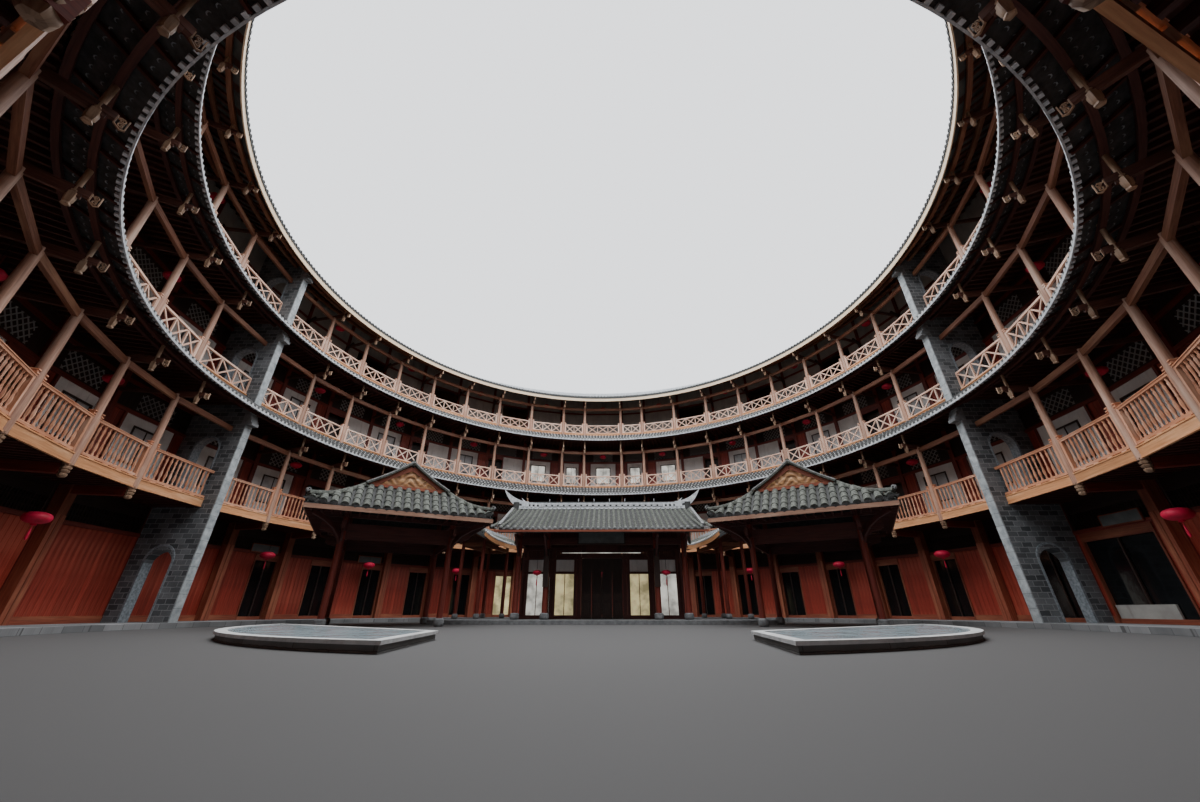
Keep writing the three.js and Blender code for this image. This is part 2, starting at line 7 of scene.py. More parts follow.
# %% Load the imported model
import math
import bpy
import numpy as np
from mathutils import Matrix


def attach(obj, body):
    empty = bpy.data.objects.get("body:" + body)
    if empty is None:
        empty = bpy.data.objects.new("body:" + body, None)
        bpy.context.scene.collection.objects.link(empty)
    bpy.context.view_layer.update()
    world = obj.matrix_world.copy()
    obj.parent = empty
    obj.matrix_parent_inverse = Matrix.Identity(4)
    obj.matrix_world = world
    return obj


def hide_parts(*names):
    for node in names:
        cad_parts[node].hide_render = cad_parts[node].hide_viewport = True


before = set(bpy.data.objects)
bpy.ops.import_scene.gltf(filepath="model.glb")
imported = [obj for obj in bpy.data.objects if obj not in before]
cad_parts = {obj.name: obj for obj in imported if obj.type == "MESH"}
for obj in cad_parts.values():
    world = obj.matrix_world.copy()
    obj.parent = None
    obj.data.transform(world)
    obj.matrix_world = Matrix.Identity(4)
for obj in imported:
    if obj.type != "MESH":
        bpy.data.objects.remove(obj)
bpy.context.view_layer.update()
K = 0.5                                # the model is 1:2, and all sizes below are the real ones in metres
rng = np.random.default_rng(7)
print("CAD nodes:", len(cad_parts))

# %% [markdown]
# ## Sizes
# These are real sizes in metres, most of them the ones that the solids are built from. A bearing is an
# angle in degrees from north (+Y, where the hall is) towards east (+X).

# %% Sizes
PLINTH_TOP = 0.15
COLUMN_R = 14.2
EDGE_R = 14.18
ROOM_R = 15.9
OUTER_R = 19.9
OUTER_T = 1.0
BATTER = 0.25
FLOOR_TOP = [PLINTH_TOP, 4.1, 8.1, 12.0]
FASCIA = [None, (3.8, 4.14), (7.98, 8.27), (11.9, 12.2)]
RAIL_TOP = [None, 5.1, 8.99, 12.84]
BEAM_Z = [None, 6.79, 10.68, 14.13]
FIRE_T = 0.3
FIRE_END_R = 13.68
ARCH_W = 0.94
ARCH_H = 2.33
ARCH_R = 14.84
EAVE_R = 13.19
SKIRT_UNDER = [None, 7.47, 11.35]
SKIRT_SLOPE = math.tan(math.radians(23))
SKIRT_LOW_T = 0.07
SKIRT_HIGH_T = 0.3
MAIN_EAVE_Z = 14.6
MAIN_SLOPE = math.tan(math.radians(27))
RIDGE_R = 18.2
OUTER_EAVE_R = 22.5
MAIN_T = 0.24
BAY_ANGLE = 9.55
EAST = [5.4, 11.8] + [11.8 + BAY_ANGLE * k for k in range(1, 8)]      # columns from the middle to the east


def bays():
    """Every bay as (middle bearing, half width, place from the middle bay eastwards, 1 north or -1 south)."""
    north = [-b for b in reversed(EAST)] + EAST
    found = []
    for side in (1, -1):
        posts = [-90] + north + [90] if side > 0 else [270] + [180 - b for b in north] + [90]
        for i in range(19):
            found.append(((posts[i] + posts[i + 1]) / 2, abs(posts[i + 1] - posts[i]) / 2, i - 9, side))
    return found


COLUMNS = np.array(sorted({b % 360 for e in EAST for b in (e, -e, 180 - e, 180 + e)}))
BAYS = bays()
print("columns a storey:", len(COLUMNS), "bays:", len(BAYS))

# %% [markdown]
# ## Forms
# A form is a set of points with faces, a UV map in real metres along and across the grain, and a tone
# from 0 to 1 for each face, which the materials use to make boards differ. Nearly every shape here is
# one closed outline swept along a path, so one grid function makes them all.

# %% Form helpers
def sweep(rows, loop=False, tone=0.5):
    """rows[i, j] is point j of a closed outline at step i of a path. The outline goes anticlockwise when
    seen from the path's far end, so that quads (i,j), (i,j+1), (i+1,j+1), (i+1,j) face outwards."""
    rows = np.asarray(rows, float)
    n, m = rows.shape[:2]
    i = np.arange(n if loop else n - 1)[:, None]
    j = np.arange(m)[None, :]
    next_i, next_j = (i + 1) % n, (j + 1) % m
    quads = np.stack([i * m + j, i * m + next_j, next_i * m + next_j, next_i * m + j], -1).reshape(-1, 4)
    closed = np.concatenate([rows, rows[:1]])
    steps = np.linalg.norm(np.diff(closed, axis=0), axis=2).mean(1)
    along = np.concatenate([[0], np.cumsum(steps)])
    edge = np.linalg.norm(np.roll(rows, -1, 1) - rows, axis=2).mean(0)
    across = np.concatenate([[0], np.cumsum(edge)])
    u = np.stack(np.broadcast_arrays(along[i], along[i], along[i + 1], along[i + 1]), -1)
    v = np.stack(np.broadcast_arrays(across[j], across[j + 1], across[j + 1], across[j]), -1)
    u, v = np.broadcast_arrays(u, v)
    uv = np.stack([u, v], -1).reshape(-1, 4, 2)
    faces, uvs = [quads], [uv]
    if not loop:
        ends = np.stack([np.arange(m)[::-1], (n - 1) * m + np.arange(m)])
        flat = rows.reshape(-1, 3)[ends]
        flat = flat - flat.mean(1, keepdims=True)
        basis = np.linalg.svd(flat[1])[2][:2]
        faces.append(ends)
        uvs.append(flat @ basis.T)
    tones = [np.full(len(f), tone) for f in faces]
    return {"points": rows.reshape(-1, 3), "faces": faces, "uvs": uvs, "tones": tones}


def merge(forms):
    """One form from many; faces with the same number of corners share an array."""
    points, faces, uvs, tones, start = [], {}, {}, {}, 0
    for f in forms:
        points.append(f["points"])
        for quad, uv, tone in zip(f["faces"], f["uvs"], f["tones"]):
            n = quad.shape[1]
            faces.setdefault(n, []).append(quad + start)
            uvs.setdefault(n, []).append(uv)
            tones.setdefault(n, []).append(tone)
        start += len(f["points"])
    sizes = sorted(faces)
    return {
        "points": np.concatenate(points),
        "faces": [np.concatenate(faces[n]) for n in sizes],
        "uvs": [np.concatenate(uvs[n]) for n in sizes],
        "tones": [np.concatenate(tones[n]) for n in sizes],
    }


def copies(form, frames, spread=0.5):
    """The form once for each frame (3 axes and an origin as the columns of a 3x4 matrix). Each copy gets
    its own tone and its own place in the grain."""
    frames = np.asarray(frames, float).reshape(-1, 3, 4)
    count = len(frames)
    n = len(form["points"])
    points = np.einsum("kab,nb->kna", frames[:, :, :3], form["points"]) + frames[:, None, :, 3]
    offset = (np.arange(count) * n)[:, None, None]
    shift = rng.uniform(0, 40, (count, 1, 1, 2))
    tone = rng.uniform(-spread, spread, (count, 1))
    return {
        "points": points.reshape(-1, 3),
        "faces": [(f[None] + offset).reshape(-1, f.shape[1]) for f in form["faces"]],
        "uvs": [(uv[None] + shift).reshape(-1, *uv.shape[1:]) for uv in form["uvs"]],
        "tones": [np.clip(t[None] + tone, 0, 1).ravel() for t in form["tones"]],
    }


def moved(form, by=(0, 0, 0), turn=0.0):
    """The form turned about Z, in degrees anticlockwise, and moved."""
    a = math.radians(turn)
    spin = np.array([[math.cos(a), -math.sin(a), 0], [math.sin(a), math.cos(a), 0], [0, 0, 1]])
    return {**form, "points": form["points"] @ spin.T + np.asarray(by, float)}


def mirrored(form):
    """The form's image across the plane x = 0, with its faces turned over so that they still face out."""
    return {
        "points": form["points"] * (-1, 1, 1),
        "faces": [f[:, ::-1] for f in form["faces"]],
        "uvs": [uv[:, ::-1] for uv in form["uvs"]],
        "tones": form["tones"],
    }


def bar(start, end, w, h, up=(0, 0, 1), tone=0.5):
    """A straight timber of width w and height h, measured along up, from start to end."""
    start, end, up = (np.asarray(v, float) for v in (start, end, up))
    t = (end - start) / np.linalg.norm(end - start)
    u = up - t * (up @ t)
    u /= np.linalg.norm(u)
    s = np.cross(u, t)
    outline = np.array([-s * w - u * h, s * w - u * h, s * w + u * h, u * h - s * w]) / 2
    return sweep(np.stack([start + outline, end + outline]), tone=tone)


def slab(low, high, tone=0.5):
    """A box between two corners, with its grain along its longest side."""
    low, high = np.asarray(low, float), np.asarray(high, float)
    size = high - low
    axis = int(np.argmax(size))
    mid = (low + high) / 2
    start, end = mid.copy(), mid.copy()
    start[axis], end[axis] = low[axis], high[axis]
    up = (0, 0, 1) if axis < 2 else (0, 1, 0)
    w, h = {0: (size[1], size[2]), 1: (size[0], size[2]), 2: (size[0], size[1])}[axis]
    return bar(start, end, w, h, up, tone)


def turned(profile, sides=8):
    """A turned piece round the Z axis: at each (radius, height) a ring of points at equal angles."""
    profile = np.asarray(profile, float)
    a = np.arange(sides) * 2 * np.pi / sides
    circle = np.stack([np.cos(a), np.sin(a)], -1)
    rows = np.empty((len(profile), sides, 3))
    rows[:, :, :2] = profile[:, None, :1] * circle
    rows[:, :, 2] = profile[:, 1:2]
    return sweep(rows)


def on_ring(bearing, r, z=0.0):
    b = np.radians(bearing)
    return np.stack(np.broadcast_arrays(r * np.sin(b), r * np.cos(b), z), -1)


def band(profile, start=0.0, end=360.0, step=2.0, tone=0.5):
    """A closed outline of (radius, height) points, anticlockwise, swept round the ring."""
    profile = np.asarray(profile, float)
    full = end - start >= 360
    count = int(round((end - start) / step))
    b = start + (end - start) * np.arange(count if full else count + 1) / count
    rows = on_ring(b[:, None], profile[None, :, 0], profile[None, :, 1])
    return sweep(rows, loop=full, tone=tone)


def flat_band(r0, r1, z0, z1, **more):
    return band([(r0, z0), (r1, z0), (r1, z1), (r0, z1)], **more)


def frames_at(bearings, r=0.0):
    """Frames with x along growing bearing, y outwards and z up."""
    b = np.radians(np.atleast_1d(np.asarray(bearings, float)))
    made = np.zeros((len(b), 3, 4))
    made[:, 0, 0], made[:, 1, 0] = np.cos(b), -np.sin(b)
    made[:, 0, 1], made[:, 1, 1] = np.sin(b), np.cos(b)
    made[:, 2, 2] = 1
    made[:, :, 3] = on_ring(np.degrees(b), r)
    return made


# %% Turning a form into a piece
MADE = []


def piece(name, form, material, body="building", replaces=(), smooth=None):
    mesh = bpy.data.meshes.new(name)
    points = form["points"] * K
    loops = np.concatenate([f.ravel() for f in form["faces"]])
    sizes = np.concatenate([np.full(len(f), f.shape[1]) for f in form["faces"]])
    mesh.vertices.add(len(points))
    mesh.vertices.foreach_set("co", points.astype(np.float32).ravel())
    mesh.loops.add(len(loops))
    mesh.loops.foreach_set("vertex_index", loops.astype(np.int32))
    mesh.polygons.add(len(sizes))
    mesh.polygons.foreach_set("loop_start", (np.cumsum(sizes) - sizes).astype(np.int32))
    uv = np.concatenate([u.reshape(-1, 2) for u in form["uvs"]])
    mesh.uv_layers.new(name="UVMap").data.foreach_set("uv", uv.astype(np.float32).ravel())
    tone = mesh.attributes.new("tone", "FLOAT", "FACE")
    tone.data.foreach_set("value", np.concatenate(form["tones"]).astype(np.float32))
    mesh.update(calc_edges=True)
    mesh.polygons.foreach_set("use_smooth", np.full(len(sizes), smooth is not None))
    if smooth is not None:
        mesh.set_sharp_from_angle(angle=math.radians(smooth))
    made = bpy.data.objects.new(name, mesh)
    bpy.context.scene.collection.objects.link(made)
    mesh.materials.append(material)
    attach(made, body)
    if replaces:
        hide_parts(*replaces)
    count = int((sizes - 2).sum())
    MADE.append((name, count))
    print(name, count, "triangles")
    return made


def repaint(name, material):
    """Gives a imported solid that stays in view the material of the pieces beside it."""
    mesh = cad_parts[name].data
    mesh.materials.clear()
    mesh.materials.append(material)


# %% [markdown]
# ## Materials
# Each finish is a small node tree. Timber reads the UV map, so its grain runs along each piece whichever
# way the piece points. Stone, tile and plaster read object coordinates.

# %% Node helpers
def node(tree, kind, inputs=None, **settings):
    made = tree.nodes.new("ShaderNode" + kind)
    for key, value in settings.items():
        setattr(made, key, value)
    for key, value in (inputs or {}).items():
        if isinstance(value, bpy.types.NodeSocket):
            tree.links.new(value, made.inputs[key])
        else:
            made.inputs[key].default_value = value
    return made


def mix(tree, factor, a, b, how="MIX"):
    made = node(tree, "Mix", {0: factor, 6: a, 7: b}, data_type="RGBA", blend_type=how)
    return made.outputs[2]


def scalar(tree, operation, a, b=0.0):
    return node(tree, "Math", {0: a, 1: b}, operation=operation).outputs[0]


def spread(tree, value, low, high, to_low=0.0, to_high=1.0):
    made = node(tree, "MapRange", {0: value, 1: low, 2: high, 3: to_low, 4: to_high})
    return made.outputs[0]


def rgba(colour):
    return (*colour, 1.0)


def start_material(name, roughness):
    material = bpy.data.materials.new(name)
    material.use_nodes = True
    tree = material.node_tree
    tree.nodes.clear()
    shader = node(tree, "BsdfPrincipled", {"Roughness": roughness})
    output = node(tree, "OutputMaterial")
    tree.links.new(shader.outputs[0], output.inputs[0])
    return material, tree, shader


def bump(tree, shader, height, strength=0.3, distance=0.01):
    made = node(tree, "Bump", {"Height": height, "Strength": strength, "Distance": distance})
    tree.links.new(made.outputs[0], shader.inputs["Normal"])


def noise(tree, place, scale, detail, rough=0.5):
    made = node(tree, "TexNoise", {"Vector": place, "Scale": scale, "Detail": detail, "Roughness": rough})
    return made.outputs[0]


def shaded(tree, colour, shade):
    """The colour times a grey level."""
    level = node(tree, "CombineColor", {0: shade, 1: shade, 2: shade}).outputs[0]
    return mix(tree, 1.0, colour, level, "MULTIPLY")


def object_place(tree):
    return node(tree, "TexCoord").outputs["Object"]


def face_tone(tree):
    return node(tree, "Attribute", attribute_name="tone").outputs["Fac"]


# %% Timber
def timber(name, dark, light, worn=None, roughness=0.6, wear=0.35, fine=26.0, depth=0.25):
    """Grain is noise stretched along the piece; a second, broader noise brings the worn colour through."""
    material, tree, shader = start_material(name, roughness)
    uv = node(tree, "UVMap", uv_map="UVMap").outputs[0]
    stretched = node(tree, "Mapping", {"Vector": uv, "Scale": (1.1, fine, 1)}).outputs[0]
    grain = noise(tree, stretched, 1.0, 5.0, 0.65)
    broad = node(tree, "Mapping", {"Vector": uv, "Scale": (0.5, 2.5, 1)}).outputs[0]
    patch = noise(tree, broad, 1.0, 4.0, 0.6)
    colour = mix(tree, spread(tree, grain, 0.3, 0.7), rgba(dark), rgba(light))
    if worn:
        colour = mix(tree, spread(tree, patch, 0.5, 0.72, 0.0, wear * 2), colour, rgba(worn))
    by_board = spread(tree, face_tone(tree), 0, 1, 0.74, 1.22)
    by_place = spread(tree, patch, 0.2, 0.8, -0.1, 0.1)
    colour = shaded(tree, colour, scalar(tree, "ADD", by_board, by_place))
    tree.links.new(colour, shader.inputs["Base Color"])
    tree.links.new(spread(tree, grain, 0.2, 0.8, roughness + 0.12, roughness - 0.1),
                   shader.inputs["Roughness"])
    bump(tree, shader, grain, depth, 0.004)
    return material


fascia_wood = timber("fascia_wood", (0.52, 0.21, 0.085), (0.82, 0.42, 0.20), (0.88, 0.55, 0.32), 0.55)
rail_wood = timber("rail_wood", (0.42, 0.14, 0.07), (0.80, 0.41, 0.24), (0.86, 0.58, 0.43), 0.5)
pink_wood = timber("pink_wood", (0.62, 0.35, 0.25), (0.86, 0.60, 0.46), (0.88, 0.72, 0.60), 0.55)
post_wood = timber("post_wood", (0.30, 0.15, 0.10), (0.56, 0.33, 0.23), (0.62, 0.45, 0.35), 0.55)
beam_wood = timber("beam_wood", (0.13, 0.04, 0.022), (0.34, 0.135, 0.07), (0.42, 0.22, 0.12), 0.55)
soffit_wood = timber("soffit_wood", (0.05, 0.017, 0.012), (0.13, 0.045, 0.03), None, 0.65)
plank_wood = timber("plank_wood", (0.17, 0.018, 0.012), (0.41, 0.055, 0.032), (0.52, 0.13, 0.08), 0.45, 0.3)
red_wood = timber("red_wood", (0.10, 0.014, 0.010), (0.24, 0.040, 0.024), None, 0.5)
pier_wood = timber("pier_wood", (0.16, 0.040, 0.024), (0.37, 0.10, 0.052), (0.46, 0.19, 0.10), 0.5)
joist_wood = timber("joist_wood", (0.055, 0.020, 0.014), (0.15, 0.056, 0.038), None, 0.6)
hall_wood = timber("hall_wood", (0.045, 0.012, 0.011), (0.13, 0.036, 0.030), None, 0.5)
maroon_wood = timber("maroon_wood", (0.045, 0.012, 0.010), (0.12, 0.034, 0.024), None, 0.6)
dark_wood = timber("dark_wood", (0.016, 0.009, 0.007), (0.055, 0.030, 0.024), None, 0.45)
carved_wood = timber("carved_wood", (0.17, 0.09, 0.055), (0.50, 0.33, 0.21), (0.64, 0.49, 0.35), 0.6, 0.4,
                     14.0, 0.6)
eave_wood = timber("eave_wood", (0.70, 0.50, 0.32), (0.95, 0.80, 0.60), None, 0.6)
lattice_wood = timber("lattice_wood", (0.24, 0.24, 0.24), (0.42, 0.42, 0.42), None, 0.6)


# %% [markdown]
# The fire walls are laid in grey blocks, with a strip of paler dressed stone on their ends. A brick
# texture gives the courses; each block takes its own grey, and the joints are sunk with a bump.

# %% Stone, plaster and earth
def masonry(name, dark, light, joint, size, axes, joint_size):
    """Courses of blocks. size is a block's real width and height; axes picks the two model axes that the
    courses follow, or the UV map."""
    material, tree, shader = start_material(name, 0.9)
    if axes == "uv":
        place = node(tree, "UVMap", uv_map="UVMap").outputs[0]
        scale = 1.0
    else:
        part = node(tree, "SeparateXYZ", {0: object_place(tree)}).outputs
        first, second = ("XYZ".index(axis) for axis in axes)
        place = node(tree, "CombineXYZ", {0: part[first], 1: part[second]}).outputs[0]
        scale = 1 / K
    big = noise(tree, place, 1.3 * scale, 5.0)
    fine = noise(tree, place, 22.0 * scale, 6.0, 0.7)
    # The joints wander a little: the place is pushed about by up to 1.5 cm.
    wander = node(tree, "TexNoise", {"Vector": place, "Scale": 5.0 * scale, "Detail": 2.0},
                  noise_dimensions="2D")
    push = node(tree, "VectorMath", {0: wander.outputs[1], 1: (0.5, 0.5, 0.5)},
                operation="SUBTRACT").outputs[0]
    small = node(tree, "VectorMath", {0: push, "Scale": 0.03 / scale}, operation="SCALE").outputs[0]
    place = node(tree, "VectorMath", {0: place, 1: small}, operation="ADD").outputs[0]
    bricks = node(tree, "TexBrick", {
        "Vector": place, "Color1": rgba(dark), "Color2": rgba(light), "Mortar": rgba(joint), "Scale": scale,
        "Mortar Size": joint_size, "Mortar Smooth": 0.3, "Bias": 0.0, "Brick Width": size[0],
        "Row Height": size[1],
    }, offset=0.5, offset_frequency=2)
    colour = mix(tree, spread(tree, fine, 0.3, 0.8, 0.0, 0.5), bricks.outputs[0], rgba(dark))
    colour = shaded(tree, colour, spread(tree, big, 0.3, 0.7, 0.75, 1.2))
    tree.links.new(colour, shader.inputs["Base Color"])
    height = scalar(tree, "SUBTRACT", scalar(tree, "MULTIPLY", fine, 0.4), bricks.outputs[1])
    bump(tree, shader, height, 0.6, 0.012)
    return material


def mottled(name, dark, light, scale, roughness, grit, depth, stain=None):
    """Two noises: broad patches between two colours, and fine grit for the bump. A stain runs down in
    streaks."""
    material, tree, shader = start_material(name, roughness)
    coords = object_place(tree)
    patch = noise(tree, coords, scale / K, 6.0, 0.6)
    grain = noise(tree, coords, grit / K, 5.0, 0.7)
    colour = mix(tree, spread(tree, patch, 0.32, 0.68), rgba(dark), rgba(light))
    if stain:
        tall = node(tree, "Mapping", {"Vector": coords, "Scale": (6.0, 6.0, 0.8)}).outputs[0]
        streak = noise(tree, tall, 1.0 / K, 4.0)
        colour = mix(tree, spread(tree, streak, 0.55, 0.75, 0.0, 0.55), colour, rgba(stain))
    colour = shaded(tree, colour, spread(tree, face_tone(tree), 0, 1, 0.8, 1.2))
    tree.links.new(colour, shader.inputs["Base Color"])
    bump(tree, shader, grain, depth, 0.006)
    return material


fire_stone = masonry("fire_stone", (0.058, 0.066, 0.072), (0.205, 0.222, 0.235), (0.30, 0.32, 0.335),
                     (0.33, 0.17), "XZ", 0.013)
dressed_stone = mottled("dressed_stone", (0.25, 0.28, 0.295), (0.50, 0.535, 0.55), 5.0, 0.8, 40.0, 0.35)
reveal_stone = mottled("reveal_stone", (0.12, 0.145, 0.165), (0.34, 0.38, 0.41), 14.0, 0.8, 40.0, 0.35)
trim_stone = mottled("trim_stone", (0.12, 0.128, 0.134), (0.28, 0.292, 0.30), 5.0, 0.8, 40.0, 0.35)
plinth_stone = masonry("plinth_stone", (0.14, 0.145, 0.15), (0.27, 0.275, 0.28), (0.08, 0.08, 0.08),
                       (1.1, 0.6), "XY", 0.01)
base_stone = masonry("base_stone", (0.22, 0.23, 0.23), (0.40, 0.40, 0.38), (0.12, 0.12, 0.12), (0.55, 0.32),
                     "uv", 0.016)
earth = mottled("rammed_earth", (0.46, 0.32, 0.17), (0.68, 0.52, 0.32), 0.8, 0.95, 18.0, 0.5,
                (0.30, 0.22, 0.14))
plaster = mottled("plaster", (0.64, 0.63, 0.61), (0.86, 0.85, 0.83), 1.2, 0.9, 40.0, 0.1, (0.50, 0.48, 0.46))
grey_board = mottled("grey_board", (0.30, 0.29, 0.27), (0.44, 0.43, 0.40), 1.2, 0.9, 40.0, 0.1,
                     (0.22, 0.20, 0.18))
kerb_stone = mottled("kerb_stone", (0.44, 0.45, 0.45), (0.66, 0.67, 0.67), 4.0, 0.75, 40.0, 0.2)
kerb_side = masonry("kerb_side", (0.16, 0.16, 0.155), (0.30, 0.30, 0.29), (0.09, 0.09, 0.09), (1.4, 0.3),
                    "uv", 0.008)
ridge_lime = mottled("ridge_lime", (0.36, 0.39, 0.42), (0.72, 0.75, 0.78), 9.0, 0.8, 40.0, 0.4)
skirt_tile = mottled("skirt_tile", (0.026, 0.027, 0.027), (0.078, 0.080, 0.080), 6.0, 0.8, 40.0, 0.4)
moss_tile = mottled("moss_tile", (0.032, 0.037, 0.032), (0.172, 0.184, 0.160), 13.0, 0.85, 45.0, 0.6,
                    (0.020, 0.023, 0.020))
pale_tile = mottled("pale_tile", (0.11, 0.115, 0.116), (0.32, 0.33, 0.33), 9.0, 0.85, 40.0, 0.4)
# A pale grey for the painted highlights on the tile ends under the skirt roofs.
soffit_highlight = mottled("soffit_highlight", (0.10, 0.11, 0.12), (0.30, 0.32, 0.34), 12.0, 0.85, 40.0, 0.2)
roof_tile = mottled("roof_tile", (0.055, 0.060, 0.060), (0.14, 0.150, 0.145), 2.0, 0.85, 30.0, 0.5)
lime_edge = mottled("lime_edge", (0.30, 0.31, 0.31), (0.66, 0.67, 0.67), 12.0, 0.8, 40.0, 0.2)
silk_red = mottled("lantern_red", (0.46, 0.006, 0.030), (0.80, 0.016, 0.085), 3.0, 0.55, 30.0, 0.1)
sign_grey = mottled("sign_board", (0.10, 0.115, 0.115), (0.17, 0.19, 0.19), 3.0, 0.6, 30.0, 0.1)
gold_carving = timber("gold_carving", (0.25, 0.11, 0.045), (0.54, 0.29, 0.13), (0.64, 0.41, 0.22), 0.5, 0.4,
                      10.0, 0.4)


# %% Glass, water and lit panes
def glossy(name, colour, roughness):
    """A smooth surface with a slow ripple in its colour and height, so that what it mirrors wavers."""
    material, tree, shader = start_material(name, roughness)
    ripple = noise(tree, object_place(tree), 2.2 / K, 3.0)
    dim = tuple(c * 0.6 for c in colour)
    varied = mix(tree, spread(tree, ripple, 0.3, 0.7), rgba(dim), rgba(colour))
    tree.links.new(varied, shader.inputs["Base Color"])
    bump(tree, shader, ripple, 0.15, 0.01)
    return material


shop_glass = glossy("shop_glass", (0.010, 0.011, 0.012), 0.08)
window_glass = glossy("window_glass", (0.52, 0.53, 0.54), 0.3)
pool_water = glossy("pool_water", (0.34, 0.41, 0.44), 0.22)


def lit_pane(name, colour, strength):
    """A pane lit from the room behind it, with the vague shapes of what hangs there."""
    material, tree, shader = start_material(name, 0.25)
    shapes = noise(tree, object_place(tree), 1.7 / K, 3.0)
    dim = tuple(c * 0.35 for c in colour)
    pale = mix(tree, spread(tree, shapes, 0.35, 0.65), rgba(dim), rgba(colour))
    tree.links.new(pale, shader.inputs["Base Color"])
    tree.links.new(pale, shader.inputs["Emission Color"])
    shader.inputs["Emission Strength"].default_value = strength
    return material


white_pane = lit_pane("lit_white_pane", (0.74, 0.73, 0.66), 1.0)
warm_pane = lit_pane("lit_warm_pane", (0.74, 0.64, 0.34), 0.8)

# %% [markdown]
# ## Camera, light and floor
# The photograph was taken with a very wide lens from under the near gallery, close to the ground and
# tilted up. The camera was found by fitting the arches, floors and column circle to their pixels.

# %% Camera, light and floor
camera_data = bpy.data.cameras.new("camera")
camera_data.lens = 12.85
camera_data.sensor_width = 36.0
camera_data.clip_start = 0.01
camera = bpy.data.objects.new("camera", camera_data)
camera.location = (0.1315, -7.606, 0.243)
camera.rotation_euler = (math.radians(116.12), 0.0, math.radians(0.91))
bpy.context.scene.collection.objects.link(camera)
bpy.context.scene.camera = camera

world = bpy.data.worlds.new("world")
world.use_nodes = True
background = world.node_tree.nodes["Background"]
background.inputs[0].default_value = (0.88, 0.90, 0.94, 1)
background.inputs[1].default_value = 2.1
bpy.context.scene.world = world

sky_data = bpy.data.lights.new("sky_panel", "AREA")
sky_data.size = 12.0
sky_data.energy = 2600.0
sky_panel = bpy.data.objects.new("sky_panel", sky_data)
sky_panel.location = (0, -3.0, 16.0)
bpy.context.scene.collection.objects.link(sky_panel)

FAR = 60.0                             # half the floor's width
floor_mesh = bpy.data.meshes.new("floor")
floor_mesh.from_pydata([(-FAR, -FAR, 0), (FAR, -FAR, 0), (FAR, FAR, 0), (-FAR, FAR, 0)], [], [(0, 1, 2, 3)])
floor = bpy.data.objects.new("floor", floor_mesh)
floor.location.z = -0.002
bpy.context.scene.collection.objects.link(floor)
floor_paint, _, floor_shader = start_material("floor_paint", 0.7)
floor_shader.inputs["Base Color"].default_value = (0.08, 0.08, 0.08, 1)
floor_mesh.materials.append(floor_paint)

# %% [markdown]
# ## Walkway and walls
# The thick outer wall is rammed earth on a course of stone, and windows pierce its upper storeys. A wall
# with holes could be cut with Booleans. A grid of cells over bearing and height is cleaner: the cells
# of a window are left out, and the cells beside it get the faces of the reveal.

# %% A ring wall with holes
def pierced(bearings, heights, r_in, r_out, holes):
    """Points on an inner and an outer grid, radius given by height. A cell in no hole has a face on each
    grid; where its neighbour is open, a face joins the two grids."""
    b = np.unique(np.round(np.concatenate([bearings] + [h[:2] for h in holes]), 5))
    z = np.unique(np.round(np.concatenate([heights] + [h[2:] for h in holes]), 5))
    n, m = len(b), len(z)
    inner = on_ring(b[:, None], r_in(z)[None], z[None])
    outer = on_ring(b[:, None], r_out(z)[None], z[None])
    mid_b = (b[1:] + b[:-1]) / 2
    mid_z = (z[1:] + z[:-1]) / 2
    open_cell = np.zeros((n + 1, m + 1), bool)
    open_cell[[0, -1]] = True
    open_cell[:, [0, -1]] = True
    for b0, b1, z0, z1 in holes:
        inside = ((mid_b > b0) & (mid_b < b1))[:, None] & ((mid_z > z0) & (mid_z < z1))[None]
        open_cell[1:-1, 1:-1] |= inside
    here = ~open_cell[1:-1, 1:-1]
    i, j = np.nonzero(here)

    def at(side, di, dj, pick):
        return side * n * m + (i[pick] + di) * m + j[pick] + dj

    every = np.ones(len(i), bool)
    shut = open_cell[i + 1, j], open_cell[i + 1, j + 2], open_cell[i, j + 1], open_cell[i + 2, j + 1]
    plan = [
        (every, (1, 0, 0), (1, 0, 1), (1, 1, 1), (1, 1, 0)),
        (every, (0, 0, 1), (0, 0, 0), (0, 1, 0), (0, 1, 1)),
        (shut[0], (0, 0, 0), (1, 0, 0), (1, 1, 0), (0, 1, 0)),
        (shut[1], (1, 0, 1), (0, 0, 1), (0, 1, 1), (1, 1, 1)),
        (shut[2], (0, 0, 1), (1, 0, 1), (1, 0, 0), (0, 0, 0)),
        (shut[3], (0, 1, 0), (1, 1, 0), (1, 1, 1), (0, 1, 1)),
    ]
    groups = [np.stack([at(*corner, pick) for corner in corners], -1) for pick, *corners in plan]
    faces = np.concatenate(groups)
    points = np.concatenate([inner.reshape(-1, 3), outer.reshape(-1, 3)])
    along = np.radians(b)[:, None] * r_out(z)[None] + 0 * z[None]
    flat = np.stack([along, np.broadcast_to(z, (n, m))], -1).reshape(-1, 2)
    flat = np.concatenate([flat, flat + (0.0, 0.4)])
    return {"points": points, "faces": [faces], "uvs": [flat[faces]], "tones": [np.full(len(faces), 0.5)]}


# %% Walkway, stone base and rammed-earth wall
def main_under(r):
    ridge = MAIN_EAVE_Z + (RIDGE_R - EAVE_R) * MAIN_SLOPE
    return np.where(r < RIDGE_R, MAIN_EAVE_Z + (r - EAVE_R) * MAIN_SLOPE, ridge - (r - RIDGE_R) * MAIN_SLOPE)


FULL_H = float(main_under(OUTER_R + OUTER_T))
BASE_TOP = 1.5                         # the stone base
FACE_TOP = 15.0                        # where the straight faces end, under the roof's slope
GATE_HALF_W = 1.1
GATE_H = 2.7
WINDOW_HALF_W = 0.3
WINDOW_SILL = 1.3
WINDOW_H = 0.9


def wall_face(z):
    return OUTER_R + OUTER_T + BATTER * (1 - z / FULL_H)


def wall_back(z):
    return np.full_like(z, OUTER_R)


